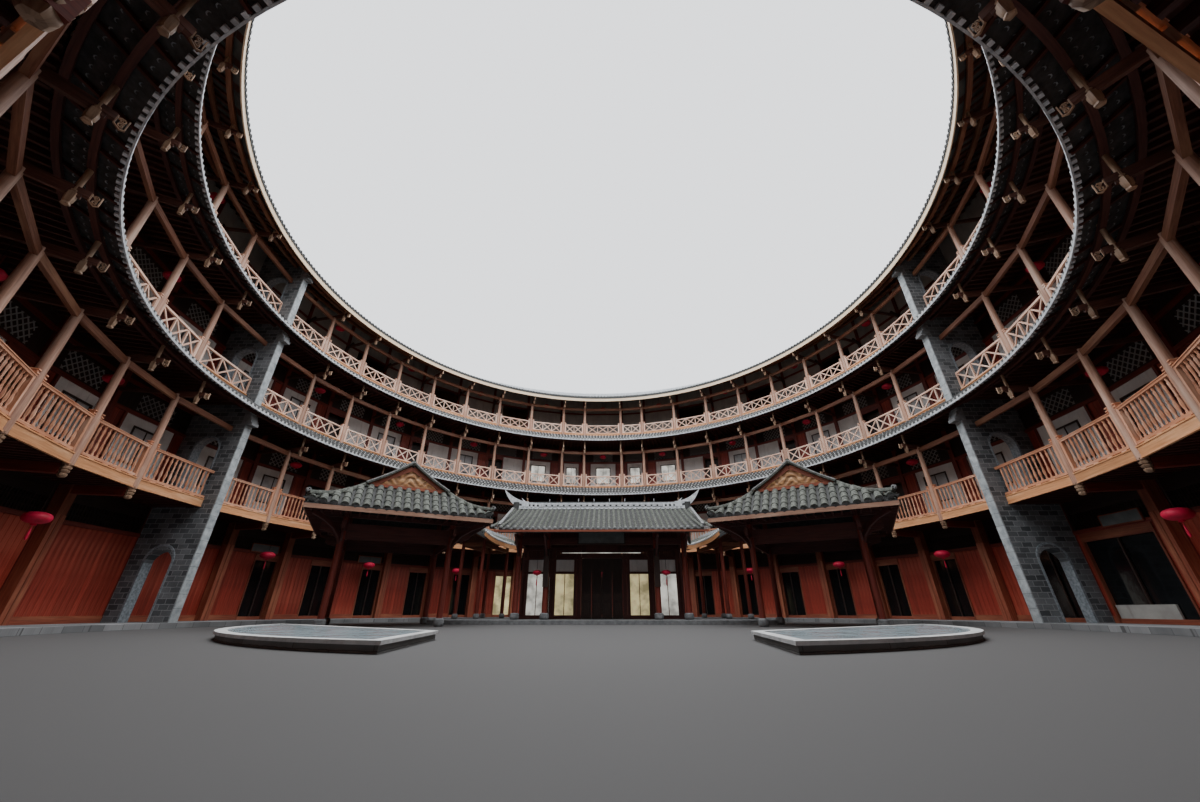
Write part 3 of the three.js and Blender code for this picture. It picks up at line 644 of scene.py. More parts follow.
WALKWAY_R = 13.5
PATH_HALF = 2.75
PATH_BACK = 15.75
gap = math.degrees(math.asin(PATH_HALF / WALKWAY_R))
outer_edge = OUTER_R + OUTER_T + BATTER
walkway = merge([
    flat_band(PATH_BACK, outer_edge, 0, PLINTH_TOP, step=2),
    flat_band(WALKWAY_R, PATH_BACK, 0, PLINTH_TOP, start=180 + gap, end=540 - gap, step=2),
])
piece("walkway_ring", walkway, plinth_stone, replaces=["ring_plinth"], smooth=30)

GATE_HALF = math.degrees(math.asin(GATE_HALF_W / OUTER_R))
ring_steps = np.arange(0, 360.1, 2.0)
gate_low = [(180 - GATE_HALF, 180 + GATE_HALF, PLINTH_TOP, BASE_TOP)]
base = pierced(ring_steps, np.array([PLINTH_TOP, BASE_TOP]), wall_back, wall_face, gate_low)
piece("outer_wall_base", base, base_stone, replaces=["outer_wall_stone_base"], smooth=30)

holes = [(180 - GATE_HALF, 180 + GATE_HALF, BASE_TOP, PLINTH_TOP + GATE_H)]
window_half = math.degrees(WINDOW_HALF_W / (OUTER_R + OUTER_T))
window_places = []
for middle, _, count, _ in BAYS:
    for storey in (1, 2, 3):
        if count % 2 == 0:
            window_places.append((middle % 360, FLOOR_TOP[storey] + WINDOW_SILL))
for middle, sill in window_places:
    head = sill + WINDOW_H
    if middle > 1:
        holes.append((middle - window_half, middle + window_half, sill, head))
    else:
        # The window due north lies on both sides of the seam at 0 and 360 degrees.
        holes += [(360 - window_half, 360.0, sill, head), (0.0, window_half, sill, head)]
wall_heights = np.array([BASE_TOP, 3.0, 6.0, 9.0, 12.0, FACE_TOP])
body = pierced(ring_steps, wall_heights, wall_back, wall_face, holes)
cap = band([(OUTER_R, FACE_TOP), (wall_face(FACE_TOP), FACE_TOP), (OUTER_R + OUTER_T, FULL_H - 0.01),
            (OUTER_R, float(main_under(OUTER_R)) - 0.01)], step=2)
piece("earth_wall", merge([body, cap]), earth, replaces=["outer_wall_north", "outer_wall_south"],
      smooth=30)

# %% [markdown]
# ## Ring roofs
# Grey half-round tiles lie in rows down the slope, over a flat bed that stands for the pans between them.
# The rows are real geometry, because they give the toothed edge against the sky. One row is a half-round
# outline carried up the slope in steps, one step a course, and it is copied round the ring.

# %% Tile rows
def tile_row(r0, z0, r1, z1, w0, w1, courses, sides=4, step=0.82):
    """A half-round outline carried from (r0, z0) to (r1, z1). Each course starts full and ends narrower,
    so that the next one steps over it."""
    t = np.linspace(0, 1, courses + 1)
    where = np.stack([t[:-1], t[1:]], 1).ravel()
    scale = np.tile([1.0, step], courses)
    a = np.linspace(np.pi, 0, sides + 1)
    w = (w0 + (w1 - w0) * where) / 2
    rows = np.empty((len(where), sides + 1, 3))
    rows[:, :, 0] = w[:, None] * scale[:, None] * np.cos(a)
    rows[:, :, 1] = (r0 + (r1 - r0) * where)[:, None]
    rows[:, :, 2] = (z0 + (z1 - z0) * where)[:, None] + w[:, None] * scale[:, None] * np.sin(a)
    return sweep(rows)


def tile_end(r, z, w, depth, sides=6):
    """The limed half-round end of a row: the row's outline, a few centimetres deep."""
    a = np.linspace(np.pi, 0, sides + 1)
    outline = np.stack([w / 2 * np.cos(a), np.zeros(sides + 1), w / 2 * np.sin(a)], -1)
    return sweep(np.stack([outline + (0, r, z), outline + (0, r + depth, z)]))


def disc(r, z, radius, depth):
    """The round end of a cover tile, with a whole circle for its face."""
    sides = 8
    a = np.linspace(2 * np.pi, 0, sides, endpoint=False) + np.pi / sides
    outline = np.stack([radius * np.cos(a), np.zeros(sides), radius * np.sin(a)], -1)
    return sweep(np.stack([outline + (0, r + depth, z), outline + (0, r, z)])[::-1])


def drip(r, z, w, drop):
    """The drip of a pan tile: a shallow hanging crescent."""
    a = np.linspace(-1, 1, 5)
    upper = np.stack([a * w / 2, 0 * a, 0 * a], -1)
    lower = np.stack([a * w / 2, 0 * a, -drop * (1 - a ** 2)], -1)[::-1][1:-1]
    outline = np.concatenate([upper, lower])
    return sweep(np.stack([outline + (0, r, z), outline + (0, r + 0.02, z)]))


ROW_STEP = 0.9                         # degrees
HALF_ROW = 0.45
ROWS = np.arange(400) * ROW_STEP + HALF_ROW
BED_STEP = 1.8                         # degrees

for storey in (1, 2):
    z0 = SKIRT_UNDER[storey]
    low, high = EAVE_R + 0.01, EDGE_R
    rise = (high - low) * SKIRT_SLOPE
    bed_low, bed_high = z0 + SKIRT_LOW_T, z0 + rise + SKIRT_HIGH_T
    bed = band([(low, z0), (high, z0 + rise), (high, bed_high), (low, bed_low)], step=BED_STEP)
    name = f"skirt_{storey + 1}"
    piece(name + "_bed", bed, skirt_tile, replaces=[f"skirt_roof_{storey + 1}"], smooth=30)
    row = tile_row(low, bed_low, high, bed_high, 0.13, 0.13, 4)
    piece(name + "_cover_tiles", copies(row, frames_at(ROWS)), skirt_tile, smooth=50)
    ends = [copies(disc(low - 0.012, bed_low - 0.005, 0.052, 0.03), frames_at(ROWS))]
    steepness = (rise + SKIRT_HIGH_T - SKIRT_LOW_T) / (high - low)
    for k in range(1, 7):
        r = low + k * (high - low) / 7 - 0.004
        shift = HALF_ROW * (k % 2)
        lip = tile_end(r, bed_low + (r - low) * steepness, 0.11, 0.02, 4)
        ends.append(copies(lip, frames_at(ROWS + shift)))
    piece(name + "_limed_ends", merge(ends), lime_edge, smooth=50)
    fillet = flat_band(low - 0.02, low + 0.01, z0 - 0.035, z0 + 0.03, step=BED_STEP)
    tooth = slab((-0.045, low + 0.011, z0 - 0.035), (0.045, low + 0.075, z0 + 0.01), 0.6)
    piece(name + "_teeth", copies(tooth, frames_at(ROWS)), ridge_lime)
    piece(name + "_fillet", fillet, ridge_lime, smooth=30)
    # Seen from below, each tile of the soffit ends in a pale arc: a painted highlight where the end of the
    # tile catches the light.
    marks = []
    course = (high - low) / 6
    for k in range(6):
        r = low + 0.05 + k * course
        z = z0 + (r - low) * SKIRT_SLOPE - 0.002
        shift = HALF_ROW * (k % 2)
        arc = [(-0.042, 0.0), (-0.02, 0.022), (0.02, 0.022), (0.042, 0.0)]
        path = np.array([(x, r + y, z) for x, y in arc])
        outline = np.array([(0, 0.008, 0.004), (0, 0.008, -0.004), (0, -0.008, -0.004), (0, -0.008, 0.004)])
        marks.append(copies(sweep(path[:, None] + outline[None]), frames_at(ROWS + shift)))
    piece(name + "_painted_highlights", merge(marks), soffit_highlight)

# %% Main roof
def slope_bed(r0, r1, t):
    z0, z1 = float(main_under(r0)), float(main_under(r1))
    return band([(r0, z0), (r1, z1), (r1, z1 + t), (r0, z0 + t)], step=BED_STEP)


BED_T = 0.12
piece("main_roof_inner_bed", slope_bed(EAVE_R + 0.02, RIDGE_R - 0.0005, BED_T), roof_tile,
      replaces=["main_roof_inner_slope"], smooth=30)
piece("main_roof_outer_bed", slope_bed(RIDGE_R, OUTER_EAVE_R - 0.03, BED_T), roof_tile,
      replaces=["main_roof_outer_slope"], smooth=30)
z_in, z_top, z_out = (float(main_under(r)) + BED_T for r in (EAVE_R, RIDGE_R, OUTER_EAVE_R))
inner_row = tile_row(EAVE_R + 0.01, z_in, RIDGE_R, z_top, 0.13, 0.18, 8, 4, 0.9)
piece("main_roof_inner_tiles", copies(inner_row, frames_at(ROWS)), roof_tile, smooth=50)
outer_rows = np.arange(560) * 360 / 560
outer_row = tile_row(OUTER_EAVE_R - 0.03, z_out, RIDGE_R, z_top, 0.15, 0.125, 6, 4, 0.9)
turned_faces = [f[:, ::-1] for f in outer_row["faces"]]
turned_uvs = [uv[:, ::-1] for uv in outer_row["uvs"]]
turned_row = {**outer_row, "faces": turned_faces, "uvs": turned_uvs}
piece("main_roof_outer_tiles", copies(turned_row, frames_at(outer_rows)), roof_tile,
      smooth=50)

inner_ends = copies(tile_end(EAVE_R + 0.002, z_in, 0.125, 0.03), frames_at(ROWS))
piece("main_roof_inner_ends", inner_ends, skirt_tile, smooth=50)
inner_drips = copies(drip(EAVE_R + 0.002, z_in - 0.02, 0.2, 0.085), frames_at(ROWS + HALF_ROW))
piece("main_roof_inner_drips", inner_drips, skirt_tile, smooth=50)
outer_ends = copies(tile_end(OUTER_EAVE_R - 0.05, z_out, 0.14, 0.03), frames_at(outer_rows))
piece("main_roof_outer_ends", outer_ends, skirt_tile, smooth=50)

eave_board = flat_band(EAVE_R + 0.03, EAVE_R + 0.07, MAIN_EAVE_Z - 0.2, MAIN_EAVE_Z + 0.1, step=BED_STEP)
outer_board = flat_band(OUTER_EAVE_R - 0.12, OUTER_EAVE_R - 0.08, z_out - 0.32, z_out - 0.1, step=BED_STEP)
piece("main_roof_eave_boards", merge([eave_board, outer_board]), eave_wood, smooth=30)

top = float(main_under(RIDGE_R)) + MAIN_T
saddle = 0.16
ridge = band([(RIDGE_R - saddle, top - 0.16), (RIDGE_R + saddle, top - 0.16), (RIDGE_R + saddle, top + 0.06),
              (RIDGE_R + 0.1, top + 0.1), (RIDGE_R + 0.06, top + 0.175), (RIDGE_R - 0.06, top + 0.175),
              (RIDGE_R - 0.1, top + 0.1), (RIDGE_R - saddle, top + 0.06)], step=BED_STEP)
piece("main_roof_ridge_course", ridge, ridge_lime, replaces=["main_roof_ridge"], smooth=30)

# Rafters carry the tiles and show from below, between the eave board and the walls.
RAFTERS = np.arange(288) * 1.25


def rafters(r0, r1, w, h):
    z0, z1 = (float(main_under(r)) - h / 2 - 0.002 for r in (r0, r1))
    return copies(bar((0, r0, z0), (0, r1, z1), w, h), frames_at(RAFTERS))


inner_rafters = rafters(EAVE_R + 0.45, 16.6, 0.06, 0.08)
outer_rafters = rafters(OUTER_R + OUTER_T - 0.1, OUTER_EAVE_R - 0.13, 0.08, 0.1)
piece("main_roof_rafters", merge([inner_rafters, outer_rafters]), joist_wood)
boards = []
for r in np.arange(EAVE_R + 0.1, 16.0, 0.22):
    z0, z1 = float(main_under(r)), float(main_under(r + 0.21))
    boards.append(band([(r, z0 - 0.001), (r + 0.21, z1 - 0.001), (r + 0.21, z1 + 0.02), (r, z0 + 0.02)],
                       step=3.6, tone=float(rng.uniform(0, 1))))
piece("main_roof_soffit", merge(boards), soffit_wood, smooth=30)

# %% [markdown]
# ## Gallery timbers
# Each storey's gallery is a ring of straight bays. Rails, beams and boards run straight from column to
# column, so one bay is built at the origin and copied to every bay of the same width. There are four
# widths: the middle bay, the narrow bays beside it, the wide bays, and the end bays at the fire walls.

# %% Groups of equal bays
GROUPS = {}
for middle, half, count, side in BAYS:
    GROUPS.setdefault(round(half, 3), []).append((middle, count, side))
for half, members in GROUPS.items():
    print("half width", half, "degrees:", len(members), "bays")


def every_bay(make, r):
    """make(w) gives a form for a bay of half width w; it is copied to all bays, x along the chord."""
    forms = []
    for half, members in GROUPS.items():
        w = r * math.sin(math.radians(half))
        middles = [m for m, _, _ in members]
        forms.append(copies(make(w), frames_at(middles, r * math.cos(math.radians(half))), 0.25))
    return merge(forms)


def at_columns(form, r):
    return copies(form, frames_at(COLUMNS, r), 0.35)


def box(x0, x1, y0, y1, z0, z1, tone=0.5):
    return slab((x0, y0, z0), (x1, y1, z1), tone)


# %% Fascia boards
RAIL_R = 14.2
EASE_OUT = 0.16
EASE_END = 21.35                       # degrees from the gate's middle, where the easing has faded out
EASE_R = 15.2                          # nothing moves beyond this radius


def eased(form):
    """Over the gate the ring is a little flatter: points near the column circle move out, by the whole
    amount in the middle bays and by less over the width of the next bay."""
    points = form["points"].copy()
    r = np.hypot(points[:, 0], points[:, 1])
    away = np.abs(np.degrees(np.arctan2(points[:, 0], -points[:, 1])))
    out = EASE_OUT * np.clip((EASE_END - away) / BAY_ANGLE, 0, 1) * np.clip((EASE_R - r) / 0.6, 0, 1)
    points[:, :2] *= ((r + out) / r)[:, None]
    return {**form, "points": points}


def eased_if_low(storey, form):
    """Only the lowest gallery is eased."""
    return eased(form) if storey == 1 else form


FACE = -0.045                          # the boards' face, inwards of the rail circle


def fascia_low(w):
    z0, z1 = FASCIA[1]
    return merge([
        box(-w, w, FACE, 0.0, z0 + 0.03, z1 - 0.08, 0.45),
        box(-w, w, FACE - 0.02, 0.0, z0, z0 + 0.03, 0.6),
        box(-w, w, FACE - 0.015, 0.0, z1 - 0.08, z1 - 0.05, 0.7),
    ])


def fascia_high(storey):
    z0, z1 = FASCIA[storey]

    def make(w):
        return merge([
            box(-w, w, FACE, 0.0, z0, z1 - 0.04, 0.45),
            box(-w, w, FACE - 0.025, 0.0, z1 - 0.04, z1, 0.7),
        ])
    return make


piece("storey_2_fascia", eased(every_bay(fascia_low, RAIL_R)), fascia_wood)
for storey in (2, 3):
    piece(f"storey_{storey + 1}_fascia", every_bay(fascia_high(storey), RAIL_R), fascia_wood)

# %% Turned balusters and rails of the lowest gallery
BALUSTER = [(0.030, 0.0), (0.030, 0.05), (0.018, 0.07), (0.036, 0.16), (0.040, 0.22), (0.026, 0.33),
            (0.020, 0.38), (0.032, 0.41), (0.020, 0.44), (0.026, 0.60), (0.034, 0.70), (0.018, 0.74),
            (0.030, 0.77), (0.030, 0.83)]


def low_railing(w):
    z0 = FASCIA[1][1] - 0.02
    top = RAIL_TOP[1]
    inner = w - 0.17
    count = max(4, int(round(2 * inner / 0.19)))
    baluster = turned(np.array(BALUSTER) * (1, (top - 0.07 - z0 - 0.07) / 0.83) + (0, z0 + 0.07), 6)
    x = np.linspace(-inner, inner, count + 2)[1:-1]
    spots = np.zeros((count, 3, 4))
    spots[:, range(3), range(3)] = 1
    spots[:, 0, 3] = x
    spots[:, 1, 3] = 0.01
    blocks = [box(v - 0.09, v + 0.09, -0.03, 0.03, z0 - 0.035, z0, 0.8) for v in x[1::3]]
    rails = [
        box(-w + 0.1, w - 0.1, -0.035, 0.05, top - 0.075, top - 0.02, 0.7),
        box(-w + 0.1, w - 0.1, -0.05, 0.065, top - 0.02, top, 0.8),
        box(-w + 0.1, w - 0.1, -0.03, 0.045, z0, z0 + 0.07, 0.6),
    ]
    return merge([copies(baluster, spots, 0.3)] + rails + blocks)


piece("storey_2_balustrade", eased(every_bay(low_railing, RAIL_R)), rail_wood,
      replaces=["railing_2_north", "railing_2_south"], smooth=40)

# %% Crossed panels of the upper galleries
def cross_railing(storey):
    z0 = FASCIA[storey][1]
    z1 = RAIL_TOP[storey]

    def make(w):
        inner = w - 0.19
        panels = max(2, int(round(2 * inner / 0.76)))
        x = np.linspace(-inner, inner, panels + 1)
        parts = [
            box(-inner, inner, -0.035, 0.035, z1 - 0.065, z1, 0.75),
            box(-inner, inner, -0.025, 0.025, z0, z0 + 0.045, 0.6),
        ]
        for a, b in zip(x[:-1], x[1:]):
            parts += [
                bar((a, 0, z0 + 0.03), (b, 0, z1 - 0.04), 0.034, 0.05, tone=0.45),
                bar((a, 0.004, z1 - 0.04), (b, 0.004, z0 + 0.03), 0.034, 0.05, tone=0.65),
            ]
        parts += [box(v - 0.024, v + 0.024, -0.026, 0.026, z0, z1 - 0.03, 0.5) for v in x]
        return merge(parts)
    return make


for storey in (2, 3):
    name = f"railing_{storey + 1}"
    piece(f"storey_{storey + 1}_cross_rails", every_bay(cross_railing(storey), RAIL_R), pink_wood,
          replaces=[name + "_north", name + "_south"])

# %% [markdown]
# The columns are round and slightly tapered. At the rail each one passes between two small capped posts,
# and in the lowest gallery it hangs below the floor's edge and ends in a carved bud. The bud is a turned
# profile: four fluted collars that shrink to a tip.

# %% Columns, capped posts and hanging buds
def column_shaft(storey):
    foot = FLOOR_TOP[storey]
    head = BEAM_Z[storey] + 0.15
    if storey == 1:
        foot = FASCIA[1][0] - 0.02
    rail = RAIL_TOP[storey]
    middle = (rail + head) / 2
    return turned([(0.105, foot), (0.108, rail), (0.100, rail + 0.06), (0.094, middle), (0.084, head)], 12)


def capped_posts(storey):
    w, offset = 0.07, 0.15
    z0 = FASCIA[storey][1] - (0.02 if storey == 1 else 0.3)
    top = RAIL_TOP[storey]
    parts = []
    for s in (-1, 1):
        x = s * offset
        parts += [
            box(x - w / 2, x + w / 2, -0.05, 0.05, z0, top + 0.03, 0.5),
            box(x - w / 2 - 0.02, x + w / 2 + 0.02, -0.07, 0.07, top + 0.03, top + 0.06, 0.8),
            box(x - w / 2 + 0.005, x + w / 2 - 0.005, -0.045, 0.045, top + 0.06, top + 0.11, 0.6),
            box(x - w / 2 - 0.02, x + w / 2 + 0.02, -0.07, 0.07, top + 0.11, top + 0.135, 0.8),
        ]
    return merge(parts)


NORTH_SOUTH = ("north", "south")
for storey in (1, 2, 3):
    shafts = eased_if_low(storey, at_columns(column_shaft(storey), COLUMN_R))
    piece(f"storey_{storey + 1}_columns", shafts, post_wood,
          replaces=[f"gallery_{storey + 1}_{n}" for n in NORTH_SOUTH], smooth=40)
    posts = eased_if_low(storey, at_columns(capped_posts(storey), RAIL_R))
    piece(f"storey_{storey + 1}_capped_posts", posts, rail_wood if storey == 1 else pink_wood)

BUD = [(0.02, -0.34), (0.06, -0.33), (0.085, -0.29), (0.085, -0.25), (0.06, -0.235), (0.09, -0.205),
       (0.098, -0.16), (0.068, -0.145), (0.098, -0.12), (0.104, -0.07), (0.07, -0.055), (0.1, -0.02),
       (0.105, 0.02)]
bud = turned(np.array(BUD) + (0, FASCIA[1][0]), 12)
lobes = np.arctan2(bud["points"][:, 1], bud["points"][:, 0])
bud["points"][:, :2] *= (1 + 0.06 * np.cos(6 * lobes))[:, None]
piece("hanging_buds", eased(at_columns(bud, COLUMN_R)), carved_wood, smooth=35)

# %% Ring beams and floor joists
def ring_beam(storey):
    z = BEAM_Z[storey]

    def make(w):
        return merge([box(-w, w, -0.05, 0.05, z - 0.09, z + 0.09, 0.55)])
    return make


for storey in (1, 2, 3):
    beam = eased_if_low(storey, every_bay(ring_beam(storey), COLUMN_R))
    piece(f"storey_{storey + 1}_ring_beam", beam, beam_wood)

JOISTS = np.arange(360.0)
FLOOR_T = 0.2
for storey in (1, 2, 3):
    z = FLOOR_TOP[storey] - FLOOR_T
    joist = bar((0, EDGE_R + 0.02, z - 0.06), (0, ROOM_R, z - 0.06), 0.06, 0.12)
    joists = eased_if_low(storey, copies(joist, frames_at(JOISTS), 0.4))
    boards = eased_if_low(storey, flat_band(EDGE_R + 0.03, OUTER_R - 0.002, z, z + FLOOR_T, step=2))
    piece(f"floor_{storey + 1}_joists", joists, maroon_wood if storey == 1 else joist_wood)
    piece(f"floor_{storey + 1}_boards", boards, soffit_wood,
          replaces=[f"floor_{storey + 1}_{n}" for n in NORTH_SOUTH], smooth=30)

# %% [markdown]
# At the top of every column an arm reaches towards the courtyard, through a short hanging post. The post's
# lower end is carved like a folded flower, and an openwork scroll fills the corner beyond it. The scroll
# is a flat strip that follows a spiral, which gives real gaps for little geometry.

# %% Arms, hanging posts and scrolls
HANG_R = 13.6


def strip(path, width, thick, tone=0.6):
    """A flat strip along a path in the y-z plane: at each point an outline of width (x) and thickness."""
    path = np.asarray(path, float)
    t = np.gradient(path, axis=0)
    t /= np.linalg.norm(t, axis=1)[:, None]
    n = np.stack([-t[:, 1], t[:, 0]], -1)
    rows = np.empty((len(path), 4, 3))
    for j, (sx, sn) in enumerate([(-1, -1), (-1, 1), (1, 1), (1, -1)]):
        rows[:, j, 0] = sx * width / 2
        rows[:, j, 1:] = path + n * sn * thick / 2
    return sweep(rows, tone=tone)


def scroll(y, z, r, turns=1.4, start=0.0, steps=14, width=0.05, thick=0.022):
    """A spiral in the y-z plane: the radius shrinks from r to a quarter of it as the angle grows."""
    a = start + np.linspace(0, turns * 2 * np.pi, steps)
    size = r * (1 - 0.75 * np.linspace(0, 1, steps))
    return strip(np.stack([y + size * np.cos(a), z + size * np.sin(a)], -1), width, thick)


def roof_under(storey, r):
    """The height of the roof's underside over a gallery."""
    return SKIRT_UNDER[storey] + (r - EAVE_R) * SKIRT_SLOPE if storey < 3 else float(main_under(r))


def hanging_set(storey):
    """The arm, post and scroll at one column, with y as the radius."""
    under = roof_under(storey, HANG_R)
    z = BEAM_Z[storey]
    arm_z = z + 0.20
    arm = merge([
        box(-0.04, 0.04, 13.42, ROOM_R, arm_z - 0.07, arm_z + 0.06, 0.5),
        box(-0.035, 0.035, HANG_R - 0.1, COLUMN_R, arm_z - 0.14, arm_z - 0.07, 0.4),
    ])
    foot = z - 0.16
    carved = [(0.04, 0.0), (0.06, 0.01), (0.056, 0.045), (0.042, 0.055), (0.062, 0.08), (0.07, 0.18),
              (0.066, 0.27), (0.046, 0.285), (0.058, 0.31), (0.045, 0.34)]
    profile = [(r, foot + up) for r, up in carved] + [(0.045, under - 0.1), (0.045, under)]
    post = turned(profile, 10)
    ribs = np.arctan2(post["points"][:, 1], post["points"][:, 0])
    low = post["points"][:, 2] < foot + 0.29
    post["points"][:, :2] *= np.where(low, 1 + 0.1 * np.cos(5 * ribs), 1.0)[:, None]
    post = moved(post, (0, HANG_R, 0))
    y, mid = HANG_R - 0.25, arm_z - 0.03
    rim = [(y - 0.07, mid - 0.115), (y - 0.015, mid - 0.145), (y + 0.045, mid - 0.095),
           (y + 0.07, mid - 0.07)]
    leaves = merge([
        box(-0.02, 0.02, y - 0.07, y - 0.055, mid - 0.12, mid + 0.08, 0.5),
        box(-0.02, 0.02, y + 0.055, y + 0.07, mid - 0.08, mid + 0.08, 0.5),
        scroll(y, mid + 0.02, 0.048, 1.3, 0.3, 11, 0.035, 0.013),
        scroll(y - 0.01, mid - 0.07, 0.042, -1.2, 2.2, 11, 0.035, 0.013),
        strip(rim, 0.035, 0.015),
    ])
    return arm, merge([post, leaves])


def purlins(storey):
    """Square rings under the roof: two under a skirt roof, three thicker ones under the main roof."""
    skirt = [(HANG_R, 0.1), (COLUMN_R - 0.1, 0.1)]
    main = [(HANG_R, 0.13), (COLUMN_R, 0.13), (15.2, 0.14)]
    parts = []
    for r, size in skirt if storey < 3 else main:
        top = roof_under(storey, r) - 0.07
        parts.append(flat_band(r - size / 2, r + size / 2, top - size, top, step=2.25))
    return merge(parts)


for storey in (1, 2, 3):
    arm, carved = hanging_set(storey)
    piece(f"storey_{storey + 1}_arms", copies(arm, frames_at(COLUMNS)), joist_wood)
    piece(f"storey_{storey + 1}_hanging_posts", copies(carved, frames_at(COLUMNS)), carved_wood,
          smooth=40)
    piece(f"storey_{storey + 1}_purlins", purlins(storey), maroon_wood if storey < 3 else beam_wood,
          smooth=30)

skirt_rafters = []
for storey in (1, 2):
    z0 = SKIRT_UNDER[storey] - 0.035
    for shift in (-2.4, 0.0, 2.4):
        r0, r1 = EAVE_R + 0.04, EDGE_R + 0.02
        skirt_rafters.append(copies(bar((0, r0, z0), (0, r1, z0 + (r1 - r0) * SKIRT_SLOPE), 0.055, 0.06),
                                    frames_at([m + shift for m, _, _, _ in BAYS])))
piece("skirt_rafters", merge(skirt_rafters), maroon_wood)

# %% [markdown]
# ## Room fronts
# Behind each gallery stands a timber front: dark red posts and planks, a white plaster panel with a
# window, and a lattice in the transom. A front is built once for each kind of bay, as a dictionary from
# finish to form, and mirrored for the bays on the other side of the middle.

# %% Parts of a front
def planks(x0, x1, y, z0, z1, width=0.14, thick=0.03):
    """Upright boards side by side, with narrow gaps and each with its own tone."""
    gap = 0.006
    n = max(1, int(round((x1 - x0) / width)))
    edges = np.linspace(x0, x1, n + 1)
    return merge([
        slab((a + gap / 2, y, z0), (b - gap / 2, y + thick, z1), tone=float(rng.uniform(0.1, 0.9)))
        for a, b in zip(edges[:-1], edges[1:])
    ])


def around(x0, x1, z0, z1, hole, y0, y1, tone=0.5):
    """A flat panel with a rectangular hole: the four boxes round it."""
    hx0, hx1, hz0, hz1 = hole
    return merge([
        box(x0, hx0, y0, y1, z0, z1, tone), box(hx1, x1, y0, y1, z0, z1, tone),
        box(hx0, hx1, y0, y1, z0, hz0, tone), box(hx0, hx1, y0, y1, hz1, z1, tone),
    ])


def lattice(x0, x1, z0, z1, y, cell=0.155, bar_w=0.03, thick=0.016):
    """Two families of diagonal bars, each clipped to the opening by where it enters and leaves."""
    pitch = cell * math.sqrt(2)
    bars = []
    for k in range(int((x1 - x0 + z1 - z0) / pitch) + 1):
        s = (k + 0.5) * pitch
        a, b = max(0.0, s - (z1 - z0)), min(x1 - x0, s)
        if b - a < 0.03:
            continue
        for flip in (1, -1):
            edge = x0 if flip > 0 else x1
            start = np.array([edge + flip * a, y + flip * 0.004, z0 + s - a])
            end = np.array([edge + flip * b, y + flip * 0.004, z0 + s - b])
            bars.append(bar(start, end, bar_w, thick, (0, 1, 0)))
    return merge(bars)


def window(x, z0, z1, half, y, pane):
    """A dark frame with one mullion, and its pane."""
    t = 0.035
    hole = (x - half + t, x + half - t, z0 + t, z1 - t)
    frame_parts = merge([
        around(x - half, x + half, z0, z1, hole, y - 0.03, y + 0.04),
        box(x - 0.012, x + 0.012, y - 0.01, y + 0.02, z0 + t, z1 - t),
    ])
    return {"dark": frame_parts, pane: box(x - half + t, x + half - t, y + 0.022, y + 0.03, z0 + t, z1 - t)}


def gather(*many):
    """Joins several dictionaries from finish to form."""
    joined = {}
    for made in many:
        for finish, form in made.items():
            joined.setdefault(finish, []).append(form)
    return {finish: merge(forms) for finish, forms in joined.items()}


def dress(make, kind_of):
    """make(w, kind) gives a front for one bay. Bays of the same width, kind and direction share it, and
    the fronts west of the middle bay are mirrored."""
    groups = {}
    for middle, half, count, side in BAYS:
        key = (round(half, 3), int(np.sign(count) * side), kind_of(count, side))
        groups.setdefault(key, []).append(middle)
    made = {}
    for (half, direction, kind), middles in groups.items():
        w = ROOM_R * math.sin(math.radians(half))
        spots = frames_at(middles, ROOM_R * math.cos(math.radians(half)))
        for finish, form in make(w, kind).items():
            form = mirrored(form) if direction < 0 else form
            made.setdefault(finish, []).append(copies(form, spots, 0.25))
    return {finish: merge(forms) for finish, forms in made.items()}


FINISH = {
    "board": (grey_board, "plaster"),
    "red": (red_wood, "red_timber"),
    "planks": (plank_wood, "red_timber"),
    "dark": (dark_wood, "dark_timber"),
    "plaster": (plaster, "plaster"),
    "lattice": (lattice_wood, "dark_timber"),
    "glass": (window_glass, None),
    "lit": (white_pane, None),
    "warm": (warm_pane, None),
    "pier": (pier_wood, "pale_timber"),
    "shop": (shop_glass, None),
    "sign": (sign_grey, None),
}


def pieces_of(name, made, replaces):
    for finish, form in made.items():
        material, slot = FINISH[finish]
        piece(f"{name}_{finish}", form, material, replaces=replaces if finish == "red" else ())


# %% Fronts of the second and third storeys
PANEL_H = 2.32
DOOR_H = 2.1


def upper_kind(count, side):
    n = abs(count)
    lit = side > 0 and n <= 2
    if n <= 1 or n == 9:
        return "middle", lit
    return ("door" if n % 2 else "plain"), lit


